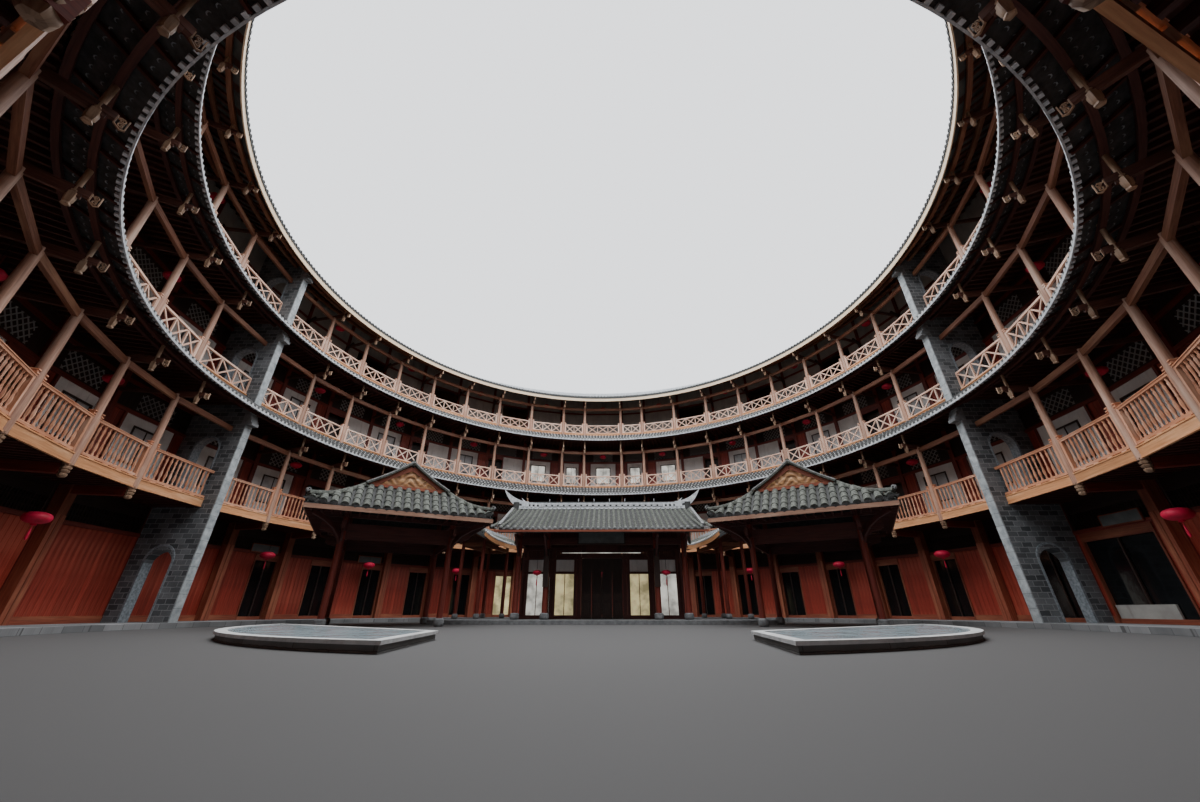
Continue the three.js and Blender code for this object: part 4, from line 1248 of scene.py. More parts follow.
def upper_front(storey):
    z0 = FLOOR_TOP[storey]
    top = FLOOR_TOP[storey + 1] - 0.2

    def make(w, kind_and_light):
        kind, lit = kind_and_light
        lit = lit and storey == 2
        out = w - 0.09
        rail, panel_top = z0 + 0.11, z0 + PANEL_H
        red = [
            box(-w, -w + 0.1, -0.06, 0.1, z0, top, 0.5),
            box(w - 0.1, w, -0.06, 0.1, z0, top, 0.5),
            box(-w, w, -0.04, 0.08, z0, rail, 0.4),
            box(-w, w, -0.05, 0.08, panel_top, panel_top + 0.12, 0.6),
            box(-w, w, -0.05, 0.08, z0 + 3.25, z0 + 3.37, 0.4),
        ]
        left, right = {"plain": (-0.62, out), "door": (-out, 0.18), "middle": (-0.62 * w, 0.62 * w)}[kind]
        parts = []
        if kind == "door":
            parts.append({"plaster": box(left, right, 0.0, 0.05, rail, panel_top)})
            parts.append({"dark": box(0.26, out, 0.3, 0.34, z0 + 0.02, z0 + DOOR_H, 0.1)})
            red.append(box(0.18, 0.26, -0.05, 0.08, z0, panel_top, 0.5))
            red.append(box(0.26, out, -0.03, 0.06, z0 + DOOR_H, panel_top))
        else:
            at = 0.25 if kind == "plain" else 0.0
            half = min(0.525, 0.42 * w)
            sill, lintel = z0 + 0.8, z0 + 2.0
            hole = (at - half, at + half, sill, lintel)
            parts.append({"plaster": around(left, right, rail, panel_top, hole, 0.0, 0.05)})
            parts.append(window(at, sill, lintel, half, 0.0, "lit" if lit else "glass"))
            casing = (at - half - 0.02, at + half + 0.02, sill - 0.02, lintel + 0.02)
            parts.append({"dark": around(*casing, hole, -0.02, -0.001, 0.6)})
            red.append(box(left - 0.08, left, -0.05, 0.08, z0, panel_top, 0.5))
            parts.append({"planks": planks(-out, left - 0.08, 0.01, rail, panel_top)})
            if kind == "middle":
                red.append(box(right, right + 0.08, -0.05, 0.08, z0, panel_top, 0.5))
                parts.append({"planks": planks(right + 0.08, out, 0.01, rail, panel_top)})
        lw = min(0.72, out - 0.1)
        lz0, lz1 = z0 + 2.52, z0 + 3.14
        dark = merge([
            around(-out, out, panel_top + 0.12, z0 + 3.25, (-lw, lw, lz0, lz1), 0.02, 0.05, 0.3),
            box(-lw, lw, 0.05, 0.06, lz0, lz1, 0.1),
            box(-out, out, 0.02, 0.05, z0 + 3.37, top, 0.3),
        ])
        parts.append({"lattice": lattice(-lw, lw, lz0, lz1, 0.03), "dark": dark, "red": merge(red)})
        return gather(*parts)
    return make


for storey in (1, 2):
    made = dress(upper_front(storey), upper_kind)
    pieces_of(f"storey_{storey + 1}_front", made, [f"room_wall_{storey + 1}_{n}" for n in NORTH_SOUTH])

# %% Fronts of the top storey
def top_kind(count, _):
    return "open" if abs(count) in (3, 5, 7) else "shut"


def wide_boards(x0, x1, z0, z1, count):
    """Equal grey boards side by side, with tones that differ a little."""
    edges = np.linspace(x0, x1, count + 1)
    return merge([box(a + 0.004, b - 0.004, 0.0, 0.04, z0, z1, float(rng.uniform(0.42, 0.58)))
                  for a, b in zip(edges[:-1], edges[1:])])


def top_front(w, kind):
    z0 = FLOOR_TOP[3]
    top = float(main_under(ROOM_R)) - 0.03
    out = w - 0.08
    head = z0 + 2.45
    red = merge([
        box(-w, -out, -0.06, 0.08, z0, top, 0.5),
        box(out, w, -0.06, 0.08, z0, top, 0.5),
        box(-w, w, -0.05, 0.07, head, head + 0.11, 0.5),
    ])
    parts = [{"board": wide_boards(-out, out, head + 0.11, top, 4)}]
    if kind == "open":
        x0 = 0.45 * w
        dark = [box(-out, x0, 0.1, 0.12, z0, z0 + 1.1), box(-out, x0, 0.0, 0.05, z0 + 2.3, head)]
        parts.append({"dark": merge(dark)})
        parts.append({"board": wide_boards(x0, out, z0, head, 1)})
    else:
        parts.append({"board": wide_boards(-out, out, z0, head, 4)})
    path = [(-0.02, head - 0.45), (-0.14, head - 0.3), (-0.3, head - 0.08), (-0.5, head + 0.05)]
    parts.append({"dark": moved(strip(path, 0.07, 0.11, 0.3), (-w + 0.06, 0, 0)), "red": red})
    return gather(*parts)


made = dress(top_front, top_kind)
pieces_of("storey_4_front", made, [f"room_wall_4_{n}" for n in NORTH_SOUTH])

# %% [markdown]
# The ground storey is shut with tall planks between square piers. Most bays have a shop opening with a
# dark or a lit pane, and a few of them a bare board above it.

# %% Fronts of the ground storey
PLANK_TOP = 2.78


def ground_kind(count, side):
    n = abs(count)
    if n == 0:
        return "hall door" if side > 0 else "gate"
    if count == 9:
        return "corner shop" if side > 0 else "wide shop"
    if n in (6, 8) and count < 0 < side:
        return "signed shop"
    if n in (2, 3) and side > 0 and count < 3:
        return "lit shop" if n == 3 else "pale shop"
    return "shop" if 2 <= n <= 8 else "shut"


def ground_front(w, kind):
    z0 = PLINTH_TOP
    top = FLOOR_TOP[1] - 0.2
    out = w - 0.17
    openings = {"hall door": (-0.55, 0.55), "gate": (-1.1, 1.1), "wide shop": (-1.04, 1.26),
                "corner shop": (0.06, 1.16)}
    span = openings.get(kind, (-1.16, -0.06))
    pane = {"lit shop": "warm", "pale shop": "lit"}.get(kind, "shop")
    doors_h = 2.85 if kind == "gate" else 2.5
    parts = []
    for a, b in ((-out, out),) if kind == "shut" else ((-out, span[0]), (span[1], out)):
        if b - a > 0.06:
            parts.append({"planks": planks(a, b, 0.0, z0 + 0.2, PLANK_TOP, 0.17)})
            parts.append({"pier": box(a, b, -0.03, 0.04, z0, z0 + 0.2, 0.6)})
    a, b = span
    if kind != "shut":
        parts.append({"pier": merge([
            box(a, a + 0.05, -0.04, 0.06, z0, doors_h, 0.2),
            box(b - 0.05, b, -0.04, 0.06, z0, doors_h, 0.2),
            box(a, b, -0.04, 0.06, doors_h, PLANK_TOP, 0.2),
        ])})
    if kind not in ("shut", "gate"):
        mid = (a + b) / 2
        sill = box(a + 0.07, b - 0.07, -0.03, 0.05, z0, z0 + 0.13, 0.6)
        parts.append({"pier": sill, pane: box(a + 0.05, b - 0.05, 0.055, 0.065, z0 + 0.13, doors_h)})
        parts.append({"dark": box(mid - 0.025, mid + 0.025, -0.01, 0.04, z0 + 0.13, doors_h)})
    if kind == "wide shop":
        parts.append({"board": box(a + 0.5, b - 0.1, -0.02, 0.03, z0 + 0.13, z0 + 0.5, 0.6)})
    if kind in ("signed shop", "wide shop"):
        board = (-0.95, 0.25, PLANK_TOP + 0.06, PLANK_TOP + 0.36)
        parts.append({"sign": box(-0.95, 0.25, -0.1, -0.06, *board[2:]),
                      "pier": around(-0.98, 0.28, board[2] - 0.03, board[3] + 0.03, board, -0.105, -0.055)})
    lz0, lz1 = PLANK_TOP + 0.12, PLANK_TOP + 0.62
    dark = merge([
        around(-out, out, PLANK_TOP, top, (-out + 0.1, out - 0.1, lz0, lz1), 0.0, 0.04, 0.35),
        box(-out + 0.1, out - 0.1, 0.045, 0.055, lz0, lz1, 0.1),
    ])
    bars = [box(x - 0.012, x + 0.012, 0.01, 0.03, lz0, lz1, 0.2)
            for x in np.arange(-out + 0.2, out - 0.15, 0.1)]
    bars += [box(-out + 0.1, out - 0.1, 0.012, 0.028, z - 0.012, z + 0.012, 0.2)
             for z in (lz0 + 0.17, lz0 + 0.34)]
    red = merge([
        box(-w, -out, -0.02, 0.1, z0, top, 0.5),
        box(out, w, -0.02, 0.1, z0, top, 0.5),
        box(-out, out, -0.05, 0.05, PLANK_TOP - 0.02, PLANK_TOP + 0.1, 0.45),
    ])
    parts.append({"dark": merge([dark] + bars), "red": red})
    return gather(*parts)


made = dress(ground_front, ground_kind)
pieces_of("storey_1_front", made, [f"room_wall_1_{n}" for n in NORTH_SOUTH])

pier = merge([
    box(-0.15, 0.15, -0.3, 0.0, PLINTH_TOP, 2.95, 0.7),
    box(-0.14, 0.14, -0.29, 0.0, 2.95, FLOOR_TOP[1] - 0.2, 0.0),
    box(-0.02, 0.02, -0.315, -0.3, PLINTH_TOP, 2.95, 0.2),
])
piece("ground_piers", at_columns(pier, ROOM_R - 0.02), pier_wood)
deep_beam = merge([box(-0.09, 0.09, EDGE_R + 0.1, ROOM_R, FLOOR_TOP[1] - 0.55, FLOOR_TOP[1] - 0.3, 0.4)])
piece("ground_cross_beams", copies(deep_beam, frames_at(COLUMNS)), red_wood)

# %% [markdown]
# Red paper lanterns hang in every second bay. Each is a flattened body of revolution with shallow ribs
# and a cap, and those of the ground storey and the hall end in a tassel.

# %% Lanterns
def lantern(scale=1.0, tassel=True):
    """The radius follows a half circle squashed to two thirds; every second meridian is drawn in by 4%."""
    a = np.linspace(-np.pi / 2, np.pi / 2, 9)
    profile = np.stack([0.05 + 0.24 * np.cos(a), 0.15 * np.sin(a)], -1) * scale
    shell = turned(profile, 20)
    angle = np.arctan2(shell["points"][:, 1], shell["points"][:, 0])
    shell["points"][:, :2] *= (1 - 0.04 * (np.round(angle / (np.pi / 10)) % 2))[:, None]
    cap = turned([(0.06 * scale, -0.19 * scale), (0.06 * scale, -0.15 * scale)], 8)
    parts = [shell, cap]
    if tassel:
        parts.append(turned([(0.012, -0.55), (0.03, -0.5), (0.022, -0.3), (0.008, -0.27), (0.006, -0.18)], 6))
    return merge(parts)


def hangers(z, top):
    return turned([(0.008, z + 0.14), (0.008, top)], 6)


UPPER_LANTERN_R = 15.1
LOW_LANTERN_R = 15.05
LOW_LANTERN_Z = 2.65
lanterns, cords = [], []
even = frames_at([m for m, _, count, _ in BAYS if count % 2 == 0])
for storey in (1, 2, 3):
    z = FLOOR_TOP[storey] + 2.62
    lanterns.append(copies(moved(lantern(0.85, False), (0, UPPER_LANTERN_R, z)), even))
    cords.append(copies(moved(hangers(z, FLOOR_TOP[storey] + 3.5), (0, UPPER_LANTERN_R, 0)), even))
lanterns.append(copies(moved(lantern(1.0), (0, LOW_LANTERN_R, LOW_LANTERN_Z)), even))
cords.append(copies(moved(hangers(LOW_LANTERN_Z, 3.85), (0, LOW_LANTERN_R, 0)), even))
piece("lanterns", merge(lanterns), silk_red, smooth=60)
piece("lantern_cords", merge(cords), dark_wood)

# %% [markdown]
# ## Fire walls
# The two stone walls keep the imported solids. Their blocks come from the material, and pieces are added
# for what stands proud: the pale dressed strip down the end, a rim round each arch, and small stepped
# corbels where a roof meets the wall.

# %% Fire walls
def arch_rim(foot):
    """A strip that follows the arch: up one jamb, round the half circle, down the other."""
    proud, width = 0.012, 0.07
    r = ARCH_W / 2 - 0.008
    spring = foot + ARCH_H - 0.008 - r
    a = np.linspace(0, np.pi, 13)

    def arch(radius):
        curve = np.stack([radius * np.cos(a), spring + radius * np.sin(a)], -1)
        return np.concatenate([[(radius, foot)], curve, [(-radius, foot)]])

    inner, outer = arch(r), arch(r + width)
    rows = np.empty((len(inner), 4, 3))
    y = FIRE_T / 2
    for j, (line, depth) in enumerate([(inner, -y), (inner, y + proud), (outer, y + proud), (outer, -y)]):
        rows[:, j, 0] = ARCH_R + line[:, 0]
        rows[:, j, 1] = depth
        rows[:, j, 2] = line[:, 1]
    rows[:, 0, 1] = -y - proud
    rows[:, 3, 1] = -y - proud
    return sweep(rows[::-1])


wall_top = float(main_under(FIRE_END_R))
rims = [arch_rim(foot) for foot in FLOOR_TOP]
end_blocks, corbels = [], []
for i, z in enumerate(np.arange(PLINTH_TOP, wall_top - 0.05, 0.42)):
    z1 = min(z + 0.41, wall_top - 0.04)
    wide = 0.152 if i % 2 else 0.156
    end_blocks.append(box(FIRE_END_R - 0.02, FIRE_END_R + 0.02, -wide, wide, z, z1,
                          float(rng.uniform(0.3, 0.7))))
for z in (SKIRT_UNDER[1] - 0.02, SKIRT_UNDER[2] - 0.02, wall_top - 0.1):
    for k in range(4):
        corbels.append(box(FIRE_END_R - 0.12 * (4 - k) / 2, FIRE_END_R + 0.15, -0.17 - 0.01 * k,
                           0.17 + 0.01 * k,
                           z - 0.5 + 0.12 * k, z - 0.385 + 0.12 * k, 0.5))
fire_wall_parts = [
    ("arch_rims", rims, reveal_stone),
    ("end_strips", end_blocks, dressed_stone),
    ("corbels", corbels, trim_stone),
]
for name, forms, material in fire_wall_parts:
    east = merge(forms)
    west = {**east, "points": east["points"] * (-1, -1, 1)}
    piece("fire_wall_" + name, merge([east, west]), material)
for side in ("east", "west"):
    repaint("fire_wall_" + side, fire_stone)

# %% [markdown]
# ## The hall
# The hall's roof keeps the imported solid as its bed, and half-round tile rows lie on it. Each row follows
# a surface given as a function of the place along the eave and the way up the slope, so the same
# function tiles the hall, the side roofs and the curved roofs of the pavilions.

# %% Tile rows on any slope
def tiled(surface, where, reach, w=0.2, courses=8, step=0.84, sides=4):
    """For each place along the eave, a stepped half-round row from the eave (0) to its reach (at most 1).
    surface(x, t) gives points; the outline stands on the surface's own normal."""
    forms = []
    for x, end in zip(where, reach):
        n = max(1, int(round(courses * end)))
        edges = np.linspace(0, end, n + 1)
        t = np.stack([edges[:-1], edges[1:]], 1).ravel()
        scale = np.tile([1.0, step], n) * w / 2
        here = np.full(len(t), x)
        middle = surface(here, t)
        up_slope = surface(here, t + 0.01) - surface(here, t - 0.01)
        across = surface(here + 0.01, t) - surface(here - 0.01, t)
        up_slope /= np.linalg.norm(up_slope, axis=1)[:, None]
        across /= np.linalg.norm(across, axis=1)[:, None]
        normal = np.cross(across, up_slope)
        a = np.linspace(np.pi, 0, sides + 1)
        rows = (middle[:, None] + across[:, None] * (scale[:, None] * np.cos(a))[..., None]
                + normal[:, None] * (scale[:, None] * np.sin(a))[..., None])
        forms.append(sweep(rows, tone=float(rng.uniform(0.15, 0.85))))
    return merge(forms)


def eave_ends(surface, where, w=0.2, pitch=0.27):
    """A round end under each row and a hanging drip between two rows."""
    forms = []
    a = np.linspace(0, 2 * np.pi, 9)[:-1]
    for x in where:
        p = surface(np.array([x]), np.array([0.0]))[0]
        q = surface(np.array([x + pitch / 2]), np.array([0.0]))[0]
        out = p - surface(np.array([x]), np.array([0.05]))[0]
        out[2] = 0
        out /= np.linalg.norm(out)
        up = np.array([0, 0, 1])
        side = np.cross(out, up)
        ring = p + (side * (np.cos(a) * w / 2)[:, None] + up * (np.sin(a) * w / 2 + 0.02)[:, None])
        middle = ring.mean(0)
        knob = np.stack([ring - out * 0.02, ring + out * 0.012, (ring - middle) * 0.6 + middle + out * 0.035])
        forms.append(sweep(knob, tone=0.7))
        b = np.linspace(-1, 1, 5)
        upper = np.stack([b, np.full(5, 0.01)], -1)
        lower = np.stack([b, -0.36 * (1 - b ** 2) - 0.05], -1)
        line = np.concatenate([upper, lower[::-1]])
        blade = q + side * (line[:, :1] * (pitch - w) * 1.1) + up * (line[:, 1:] * 0.2)
        forms.append(sweep(np.stack([blade - out * 0.005, blade + out * 0.015]), tone=0.3))
    return merge(forms)


# %% Hall roof
HALL_HALF = 4.55
HALL_RIDGE_Y = 7.0
HALL_REACH = 2.7
HALL_EAVE = 3.77
HALL_TOP = 5.2


def hall_slope(sign):
    def surface(x, t):
        away = np.abs(x) / HALL_HALF
        lift = 0.10 * away ** 6 * (1 - t) ** 2
        x = x * (1 + 0.11 * away ** 6 * (1 - t) ** 2)
        y = HALL_RIDGE_Y + sign * HALL_REACH * (1 - t)
        z = HALL_EAVE + (HALL_TOP - HALL_EAVE) * t + lift + 0.005
        return np.stack([x if sign < 0 else -x, y, z], -1)
    return surface


hall_rows = np.linspace(-HALL_HALF + 0.11, HALL_HALF - 0.11, 38)
pitch = hall_rows[1] - hall_rows[0]
tiles = merge([tiled(hall_slope(s), hall_rows, np.full(38, 0.985), 0.16, 12) for s in (-1, 1)])
piece("hall_roof_tiles", tiles, moss_tile, smooth=50)
ends = merge([eave_ends(hall_slope(s), hall_rows, 0.15, pitch) for s in (-1, 1)])
piece("hall_tile_ends", ends, pale_tile, smooth=50)

boards = []
for s in (-1, 1):
    y = HALL_RIDGE_Y + s * (HALL_REACH + 0.012)
    boards.append(box(-HALL_HALF - 0.2, HALL_HALF + 0.2, y - 0.015, y + 0.015, 3.63, 3.72, 0.3))
piece("hall_eave_boards", merge(boards), pier_wood)


def ridge_line(half, base, height, rise, y):
    """A ridge that is level in the middle and sweeps up near its ends by a high power of the distance."""
    steps, thick = 40, 0.26
    u = np.linspace(-1, 1, steps)
    lift = rise * np.abs(u) ** 9
    x = half * u
    rows = np.empty((steps, 8, 3))
    outline = [(0.5, 0.0), (0.5, 0.35), (0.36, 0.45), (0.42, 0.9),
               (0.0, 1.0), (-0.42, 0.9), (-0.36, 0.45), (-0.5, 0.0)]
    for j, (a, b) in enumerate(outline):
        rows[:, j, 0] = x
        rows[:, j, 1] = y + a * thick
        rows[:, j, 2] = base + lift * (0.3 + 0.7 * b) + b * height
    return sweep(rows, tone=0.5)


def swept_tail(side, y, z):
    """The plate at the ridge's end: its lower edge climbs with the cube of the way out, its upper edge
    starts at the ridge's top and climbs less, until they meet in a point."""
    t = np.linspace(0, 1, 12)
    x = side * (3.75 + 1.37 * t)
    low = z + 1.04 * t ** 3
    high = z + 0.34 + 0.7 * t ** 1.9
    thick = 0.11 * (1 - t) + 0.02
    rows = np.empty((12, 4, 3))
    for j, (a, edge) in enumerate([(-1, low), (1, low), (1, high), (-1, high)]):
        rows[:, j, 0] = x
        rows[:, j, 1] = y - side * a * thick
        rows[:, j, 2] = edge
    return sweep(rows, tone=0.7)


def swept_horn(x, y, z, side, size):
    """A tapering tongue that curls up and outwards from the ridge's end."""
    t = np.linspace(0, 1, 12)
    px = x + side * size * (0.75 * t ** 1.4 - 0.55 * (1 - t) * t)
    pz = z + size * (0.95 * t ** 1.7)
    wide = size * (0.26 * (1 - t) ** 0.8 + 0.02)
    thick = 0.12 * (1 - t) + 0.03
    rows = np.empty((12, 4, 3))
    for j, (a, b) in enumerate([(-1, -1), (1, -1), (1, 1), (-1, 1)]):
        rows[:, j, 0] = px - side * b * wide * 0.5
        rows[:, j, 1] = y + a * thick / 2 * -side
        rows[:, j, 2] = pz + b * wide * 0.35
    return sweep(rows, tone=0.7)


ridge_parts = [ridge_line(HALL_HALF - 0.3, HALL_TOP - 0.03, 0.36, 0.1, HALL_RIDGE_Y)]
for side in (-1, 1):
    ridge_parts.append(swept_tail(side, HALL_RIDGE_Y, HALL_TOP + 0.02))
    ridge_parts.append(swept_horn(side * (HALL_HALF - 0.6), HALL_RIDGE_Y, HALL_TOP + 0.3, side, 0.3))
    for k in range(5):
        x = side * (HALL_HALF - 0.5 - 0.22 * k)
        y0, y1 = HALL_RIDGE_Y - 0.15, HALL_RIDGE_Y + 0.15
        ridge_parts.append(box(x - 0.05, x + 0.05, y0, y1, HALL_TOP + 0.08, HALL_TOP + 0.24, 0.8))
for x in np.arange(-3.0, 3.01, 0.3):
    y0, y1 = HALL_RIDGE_Y - 0.14, HALL_RIDGE_Y + 0.14
    ridge_parts.append(box(x - 0.1, x + 0.1, y0, y1, HALL_TOP + 0.1, HALL_TOP + 0.22, 0.2))
verge = []
for s in (-1, 1):
    for side in (-1, 1):
        x = side * (HALL_HALF - 0.02)
        head = (x, HALL_RIDGE_Y + s * 0.1, HALL_TOP + 0.02)
        foot = (x, HALL_RIDGE_Y + s * (HALL_REACH + 0.02), HALL_EAVE + 0.16)
        verge.append(bar(head, foot, 0.12, 0.1, tone=0.4))
piece("hall_ridge", merge(ridge_parts), ridge_lime, smooth=35)
piece("hall_verges", merge(verge), pale_tile)
spikes = [moved(turned([(0.03, 0), (0.012, 0.03), (0.02, 0.1), (0.004, 0.2)], 6),
                (x, HALL_RIDGE_Y, HALL_TOP + 0.34))
          for x in (-2.7, -1.2, -0.4, 0.4, 1.2, 2.7)]
piece("hall_ridge_spikes", merge(spikes), ridge_lime)
repaint("hall_roof", skirt_tile)

# %% [markdown]
# Under the roof stand dark red columns on stone drums, tied by beams. A bare sign board hangs in the
# middle over a lamp strip, and two bare tall boards hang on the inner columns. Behind them is the screen
# with its four-leaf door: the two middle leaves turn, so each rides on its own body.

# %% Hall columns, beams and boards
def round_column(x, y, foot, head, r, base_r, base_h):
    shaft = moved(turned([(r, foot), (r * 0.93, head)], 14), (x, y, 0))
    drum = moved(turned([(base_r * 0.8, foot), (base_r, foot + 0.04), (base_r * 1.04, foot + base_h * 0.5),
                         (base_r, foot + base_h - 0.04), (base_r * 0.75, foot + base_h)], 14), (x, y, 0))
    return shaft, drum


def hall_under(y):
    """The height of the roof's underside over the hall."""
    return 3.59 + 1.43 * (1 - abs(y - HALL_RIDGE_Y) / HALL_REACH)


HALL_XS = (-3.8, -2.5, 2.5, 3.8)
HALL_FRONT, HALL_BACK = 5.6, 8.4
shafts, drums, beams = [], [], []
for y in (HALL_FRONT, HALL_BACK):
    for x in HALL_XS:
        outer = y - 0.13 if y < HALL_RIDGE_Y else y + 0.13
        shaft, drum = round_column(x, y, PLINTH_TOP, hall_under(outer) - 0.002, 0.128, 0.2, 0.26)
        shafts.append(shaft)
        drums.append(drum)
    beams.append(box(HALL_XS[0], HALL_XS[-1], y - 0.06, y + 0.06, 3.25, 3.56, 0.3))
    beams.append(box(-4.4, 4.4, y - 0.07, y + 0.07, hall_under(y) - 0.18, hall_under(y) - 0.005, 0.2))
for x in HALL_XS:
    beams.append(box(x - 0.06, x + 0.06, HALL_FRONT, HALL_BACK, 3.3, 3.5, 0.3))
    for y, s in ((HALL_FRONT, -1), (HALL_BACK, 1)):
        brace = strip([(0, 2.7), (s * 0.35, 2.95), (s * 0.7, 3.2), (s * 1.05, 3.5)], 0.08, 0.12, 0.3)
        beams.append(moved(brace, (x, y, 0)))
        beams.append(bar((x, y, 3.5), (x, y + s * 1.2, 3.52), 0.1, 0.12, tone=0.3))
for y in (4.75, 5.2, 6.2, 8.8, 9.3):
    beams.append(box(-4.5, 4.5, y - 0.05, y + 0.05, hall_under(y) - 0.11, hall_under(y) - 0.003, 0.2))
piece("hall_columns", merge(shafts), red_wood, replaces=["hall_porch_frame", "hall_rear_frame"],
      smooth=40)
piece("hall_drums", merge(drums), trim_stone, smooth=40)
piece("hall_beams", merge(beams), hall_wood)
sign = merge([box(-1.05, 1.05, 5.38, 5.44, 3.28, 3.78, 0.3)])
sign_edge = around(-1.1, 1.1, 3.23, 3.83, (-1.05, 1.05, 3.28, 3.78), 5.36, 5.45, 0.2)
piece("hall_sign_board", sign, sign_grey)
piece("hall_sign_frame", sign_edge, dark_wood)
piece("hall_lamp_strip", box(-1.8, 1.8, 5.52, 5.56, 2.87, 2.90), white_pane)
tall = merge([box(x - 0.13, x + 0.13, 5.43, 5.465, 1.45, 3.05, 0.3) for x in HALL_XS[1:3]])
piece("hall_tall_boards", tall, dark_wood)
pair = merge([moved(lantern(0.7), (s * 2.92, HALL_FRONT, 2.05)) for s in (-1, 1)])
piece("hall_lanterns", pair, silk_red, smooth=60)
pair = merge([moved(hangers(2.05, 3.25), (s * 2.92, HALL_FRONT, 0)) for s in (-1, 1)])
piece("hall_lantern_cords", pair, dark_wood)

# %% Screen, panes and door leaves
LEAF_W = 0.485
DOOR_HALF = 0.9888
DOOR_TOP = 2.824
SCREEN_Y = 7.2
PANE_FOOT, PANE_TOP = PLINTH_TOP + 0.16, 2.1
screen_top = hall_under(SCREEN_Y + 0.06) - 0.002
red, plank_parts, panes, pane_bars, panels = [], [], [], [], []
for side in (-1, 1):
    near, far = side * DOOR_HALF, side * 3.9
    x0, x1 = min(near, far), max(near, far)
    posts = [near + side * 0.1, side * 1.3, side * 2.3, side * 2.65, side * 3.65, side * 3.84]
    for x in posts:
        red.append(box(x - 0.055, x + 0.055, SCREEN_Y - 0.08, SCREEN_Y + 0.06, PLINTH_TOP, 3.3, 0.4))
    for z, h in ((PLINTH_TOP, 0.16), (2.1, 0.1), (2.75, 0.12), (3.2, 0.14)):
        red.append(box(x0, x1, SCREEN_Y - 0.07, SCREEN_Y + 0.06, z, z + h, 0.35))
    for mid in (1.8, 3.15):
        x = side * mid
        panes.append((mid, box(x - 0.44, x + 0.44, SCREEN_Y, SCREEN_Y + 0.01, PANE_FOOT, PANE_TOP)))
        pane_bars.append(box(x - 0.015, x + 0.015, SCREEN_Y - 0.03, SCREEN_Y + 0.02, PANE_FOOT, PANE_TOP))
        panels.append(box(x - 0.44, x + 0.44, SCREEN_Y - 0.01, SCREEN_Y + 0.02, 2.2, 2.75))
    plank_parts.append(planks(x0 + 0.02, x1 - 0.02, SCREEN_Y + 0.02, 2.87, screen_top, 0.2))
    for ends in ((1.0, 1.3), (2.3, 2.65), (3.6, 3.84)):
        a, b = sorted(side * v for v in ends)
        plank_parts.append(planks(a, b, SCREEN_Y - 0.02, PANE_FOOT, 2.75, 0.12))
lintel_top = DOOR_TOP + 0.2
red.append(box(-DOOR_HALF, DOOR_HALF, SCREEN_Y - 0.09, SCREEN_Y + 0.06, DOOR_TOP + 0.002, lintel_top, 0.3))
plank_parts.append(planks(-DOOR_HALF, DOOR_HALF, SCREEN_Y, lintel_top, screen_top, 0.2))
for x in (-3.9, 3.78):
    for y0, y1 in ((7.14, 7.7), (7.7, 8.26)):
        wall = planks(0, y1 - y0 - 0.01, -0.12, PLINTH_TOP, hall_under(y1) - 0.05, 0.2, 0.12)
        plank_parts.append(moved(wall, (x, y0, 0), 90))
piece("hall_screen_frame", merge(red), hall_wood, replaces=["hall_walls"])
piece("hall_screen_planks", merge(plank_parts), hall_wood)
piece("hall_screen_panels", merge(panels), plaster)
piece("hall_pane_bars", merge(pane_bars), red_wood)
piece("hall_white_panes", merge([p for mid, p in panes if mid > 3]), white_pane)
piece("hall_warm_panes", merge([p for mid, p in panes if mid < 3]), warm_pane)


def door_leaf(k):
    """Stiles and rails, a lattice in the upper half and two sunk panels below."""
    x0 = -DOOR_HALF + 0.0008 + k * (LEAF_W + 0.012)
    x1 = x0 + LEAF_W
    z0, z1 = PLINTH_TOP + 0.014, DOOR_TOP - 0.014
    y0, y1 = SCREEN_Y - 0.024, SCREEN_Y + 0.024
    t = 0.06
    parts = [box(x0, x0 + t, y0, y1, z0, z1, 0.5), box(x1 - t, x1, y0, y1, z0, z1, 0.5)]
    parts += [box(x0 + t, x1 - t, y0, y1, z, z + 0.07, 0.6) for z in (z0, z0 + 0.75, z0 + 1.05, z1 - 0.07)]
    back, mid, front = SCREEN_Y + 0.012, SCREEN_Y - 0.008, SCREEN_Y - 0.016
    parts += [
        box(x0 + t, x1 - t, mid, back, z0 + 0.07, z0 + 0.75, 0.3),
        box(x0 + t, x1 - t, mid, back, z0 + 0.82, z0 + 1.05, 0.7),
        box(x0 + t + 0.05, x1 - t - 0.05, front, mid, z0 + 0.15, z0 + 0.67, 0.8),
    ]
    low, high = z0 + 1.12, z1 - 0.07
    parts.append(box(x0 + t, x1 - t, SCREEN_Y + 0.01, SCREEN_Y + 0.02, low, high, 0.0))
    parts.append(moved(lattice(x0 + t, x1 - t, low, high, 0, 0.07, 0.012, 0.012), (0, SCREEN_Y - 0.008, 0)))
    return merge(parts)


for k, body in enumerate(("building", "west_leaf", "east_leaf", "building")):
    piece(f"hall_leaf_{k + 1}", door_leaf(k), dark_wood, body=body,
          replaces=[f"hall_door_leaf_{k + 1}"])
repaint("hall_floor", trim_stone)

# %% Side roofs of the hall
WING_HALF, WING_LONG, WING_Z, WING_RISE, WING_T = 0.95, 4.9, 3.69, 0.475, 0.14


def wing_slope(sign):
    def surface(x, t):
        lift = 0.2 * (np.abs(x) / (WING_LONG / 2)) ** 3 * (1 - 0.6 * t)
        across = sign * WING_HALF * (1 - t)
        z = WING_Z + WING_T + WING_RISE * t + lift
        return np.stack([across, x if sign > 0 else -x, z], -1)
    return surface


